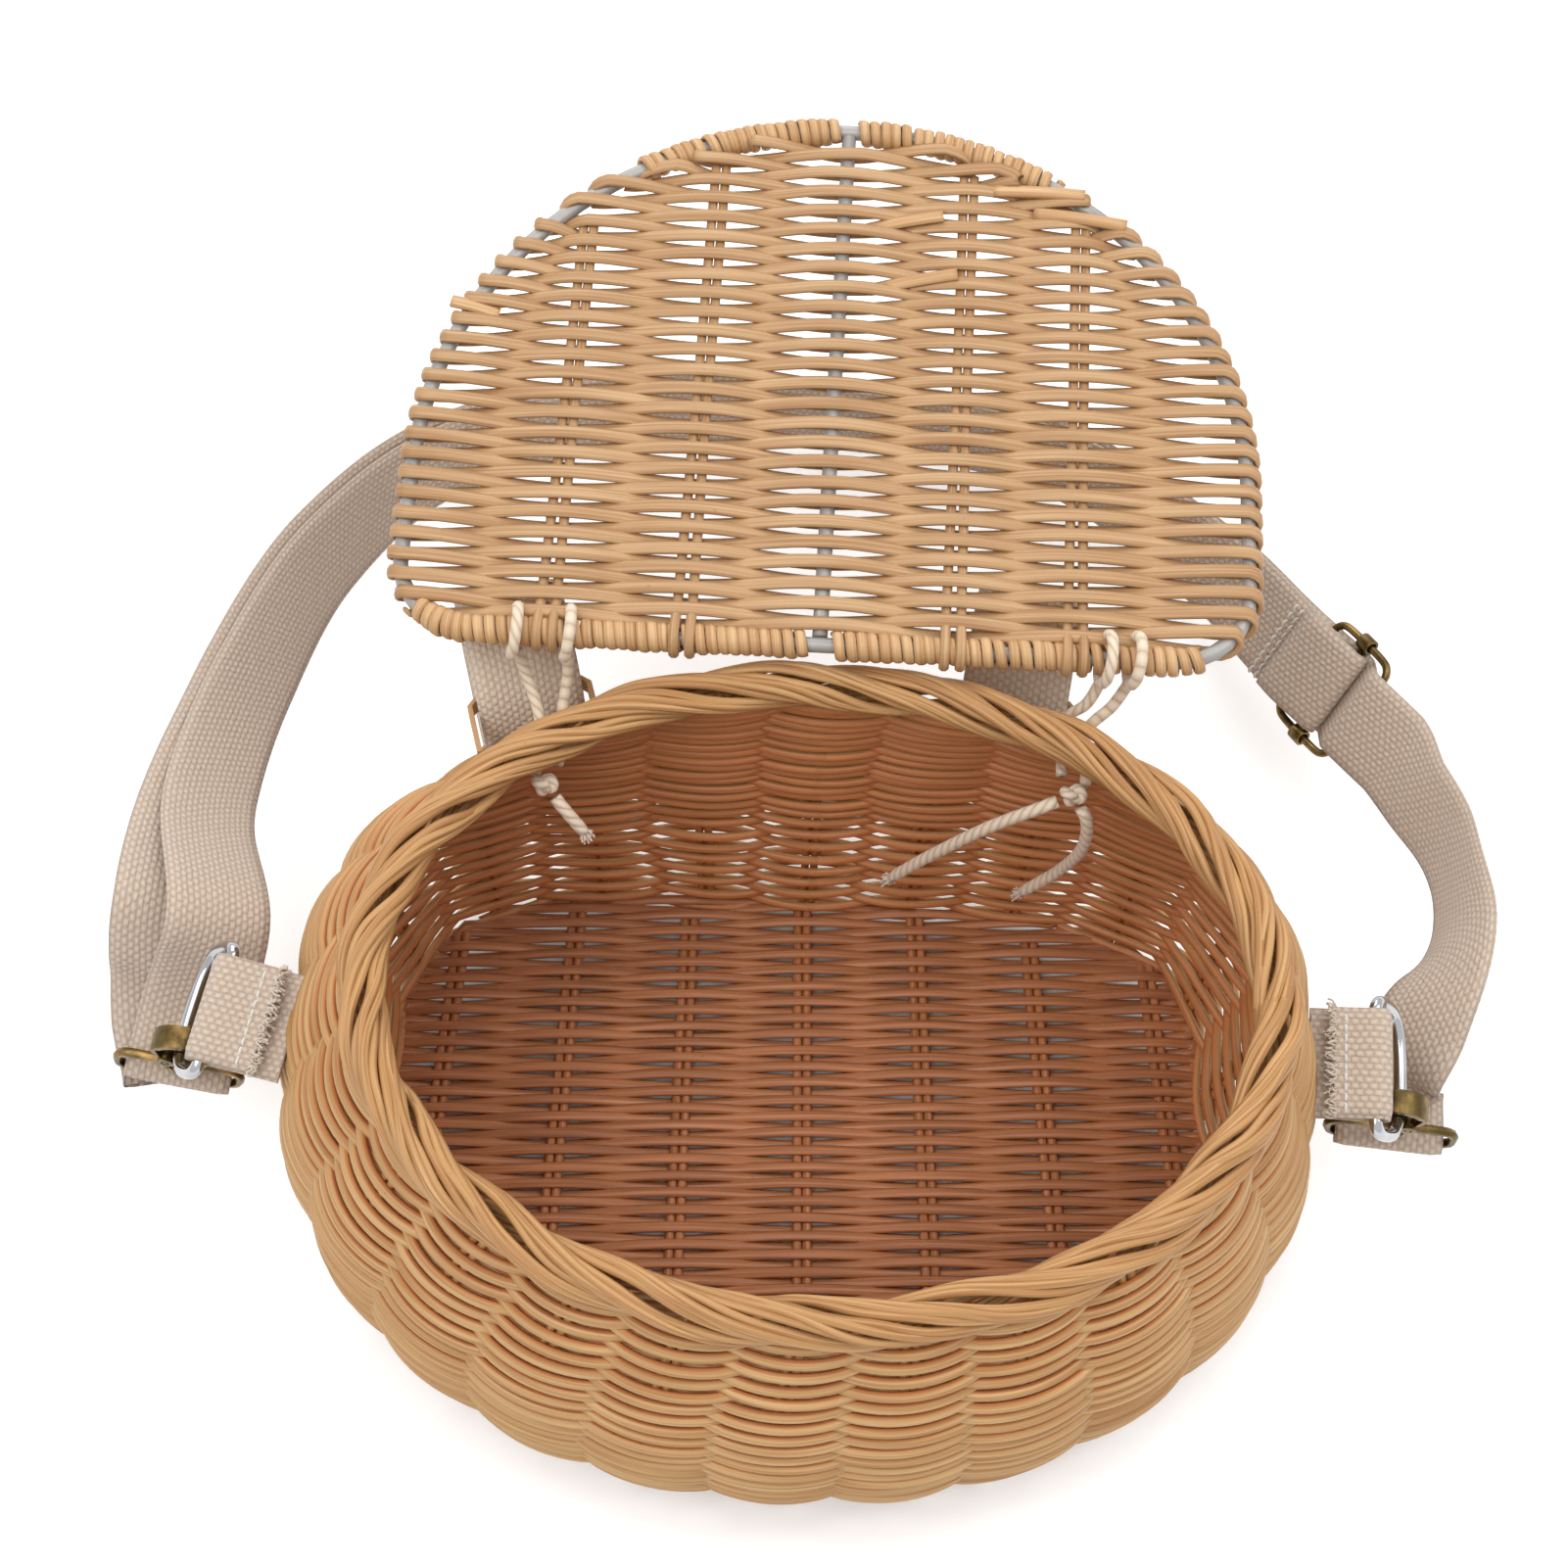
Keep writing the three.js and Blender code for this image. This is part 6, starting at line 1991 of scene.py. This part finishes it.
    def seam(self) -> list[Array]:
        """Stitches of the sewn end beside the slider.

        Returns:
            One path for each thread.
        """
        runs = []
        for row in self.seam_rows:
            for v in np.arange(-self.seam_half, self.seam_half, 2.6):
                start, across = self.at(self.slider + row, 3.4, v)
                runs.append(stitch(start, self.frame_at(self.slider + row)[2], across, 2.0, 0.7))
        return runs

    def build(self) -> None:
        """Makes the strap and its slider."""
        points, across = self.route()
        strap = Ribbon(points, across).build("shoulder_strap", self.finishes.webbing)
        ride(strap, Body.BASKET, Slot.WEBBING, "carrying_strap")
        seam = canes("strap_seam", self.seam(), False, (0.7, 0.7), Lay.EVEN, self.finishes.thread, 6)
        ride(seam, Body.BASKET, Slot.WEBBING)
        loop = eased_copy("strap_slider", "slider_frame", self.finishes.brass, 0.0, 2)
        ride(loop, Body.BASKET, Slot.BRASS, "slider_frame")
        middle = eased_copy("slider_middle_bar", "slider_bar", self.finishes.brass, 0.15, 0, 55.0)
        ride(middle, Body.BASKET, Slot.BRASS, "slider_bar")


@dataclass
class Studio:
    """Camera, floor and soft light."""

    eye: Array = fixed(7.407, -249.706, 641.4)
    forward: Array = fixed(-0.0288, 0.4992, -0.866)
    lens: float = 62.96
    aim: Array = fixed(0, 30, 50)
    sky: float = 0.5
    floor_half: float = 6.0
    floor_z: float = -0.0004
    # glow ramp at an oval round the basket; inside it the floor does not glow, a painted shadow
    painted_shadow_oval: tuple[float, ...] = (0.8, 1.12, 0.0, 0.36)
    far_floor: tuple[float, ...] = (6.0, 14.0, 0.0, 0.3)
    lamps: tuple[tuple[str, tuple[float, float, float], float, float], ...] = (
        ("key_light", (-600, -450, 1500), 1.3, 15.5), ("fill_light", (850, 150, 1450), 1.5, 13.5),
        ("back_light", (-200, 1300, 900), 1.0, 7.0))

    def camera(self) -> None:
        """Puts the camera at the photograph's view."""
        data = bpy.data.cameras.new("view")
        data.lens = self.lens
        data.sensor_width = 36.0
        data.clip_start, data.clip_end = 0.01, 20.0
        bpy.context.scene.camera = self.aimed("view", data, self.eye, self.forward)

    @staticmethod
    def aimed(name: str, data: bpy.types.ID, place: Array, way: Array) -> Piece:
        """Puts a camera or lamp at its place.

        Args:
            name: its name.
            data: the camera or lamp.
            place: where it is.
            way: where it looks.
        Returns:
            The object.
        """
        thing = linked(name, data)
        thing.location = place * MM
        thing.rotation_mode = "QUATERNION"
        thing.rotation_quaternion = Vector(way).to_track_quat("-Z", "Y")
        return thing

    def world(self) -> None:
        """Even light from all round, seen as white."""
        world = bpy.data.worlds.new("white_studio")
        bpy.context.scene.world = world
        world.use_nodes = True
        n = Nodes(world.node_tree)
        n.fill(world.node_tree.nodes["Background"], Color=WHITE, Strength=n.range(n.seen(), 0.0, 1.0, self.sky, 1.0))

    def lamp(self, name: str, place: Array, size: float, power: float) -> None:
        """One soft square light, turned to the basket.

        Args:
            name: its name.
            place: where it is.
            size: its side in metres.
            power: its watts.
        """
        data = bpy.data.lights.new(name, "AREA")
        data.size = size
        data.energy = power
        self.aimed(name, data, place, self.aim - place)

    def floor(self) -> None:
        """White floor under the basket that keeps its shadow; its glow is held back in an oval round the basket, which
        paints shadow there.
        """
        mesh = bpy.data.meshes.new("studio_floor")
        s, z = self.floor_half, self.floor_z
        mesh.from_pydata([(-s, -s, z), (s, -s, z), (s, s, z), (-s, s, z)], [], [(0, 1, 2, 3)])
        material, n, shader = new_material("white_floor")
        place = n.add("ShaderNodeTexCoord").outputs["Object"]
        centred = n.vector("MULTIPLY_ADD", place, (8.7, 11.4, 0.0), (0.04, -0.09, 0.0))
        away = n.vector("LENGTH", centred.outputs[0]).outputs["Value"]
        # no glow inside the oval round the basket, painted shadow there; more glow far out
        glow_beyond_shadow_oval = n.math("ADD", n.range(away, *self.painted_shadow_oval), n.range(away, *self.far_floor))
        n.fill(shader, Base_Color=(0.86, 0.86, 0.86, 1.0), Roughness=1.0, Specular_IOR_Level=0.0, Emission_Color=WHITE,
               Emission_Strength=n.math("MULTIPLY", n.seen(), glow_beyond_shadow_oval))
        mesh_object("studio_floor", mesh, material)

    def build(self) -> None:
        """Sets the stage."""
        self.camera()
        self.world()
        for name, place, size, power in self.lamps:
            self.lamp(name, vec(*place), size, power)
        self.floor()


def main() -> None:
    """Builds the stage and every sub-assembly in order."""
    logging.basicConfig(level=logging.INFO, format="%(name)s: %(message)s")
    scene = bpy.context.scene
    scene.view_settings.view_transform = "Standard"
    Studio().build()
    finishes = Finishes()
    form = WallForm()
    lid = Lid(finishes)
    parts = (HingeCords(finishes, form, lid), BasketWall(finishes, form), RimPlait(finishes), BasePanel(finishes, form),
             lid, BarStrap(finishes, form, Side.LEFT, -70.0), BarStrap(finishes, form, Side.RIGHT, 41.0),
             Hitch(finishes, Side.LEFT, vec(-136.8408, 9.6385, 76.0), 17.5, math.radians(-12)),
             Hitch(finishes, Side.RIGHT, vec(125.4599, 11.0, 76.0), 13.5, 0.0), CarryingStrap(finishes))
    for part in parts:
        part.build()


if __name__ == "__main__":
    main()
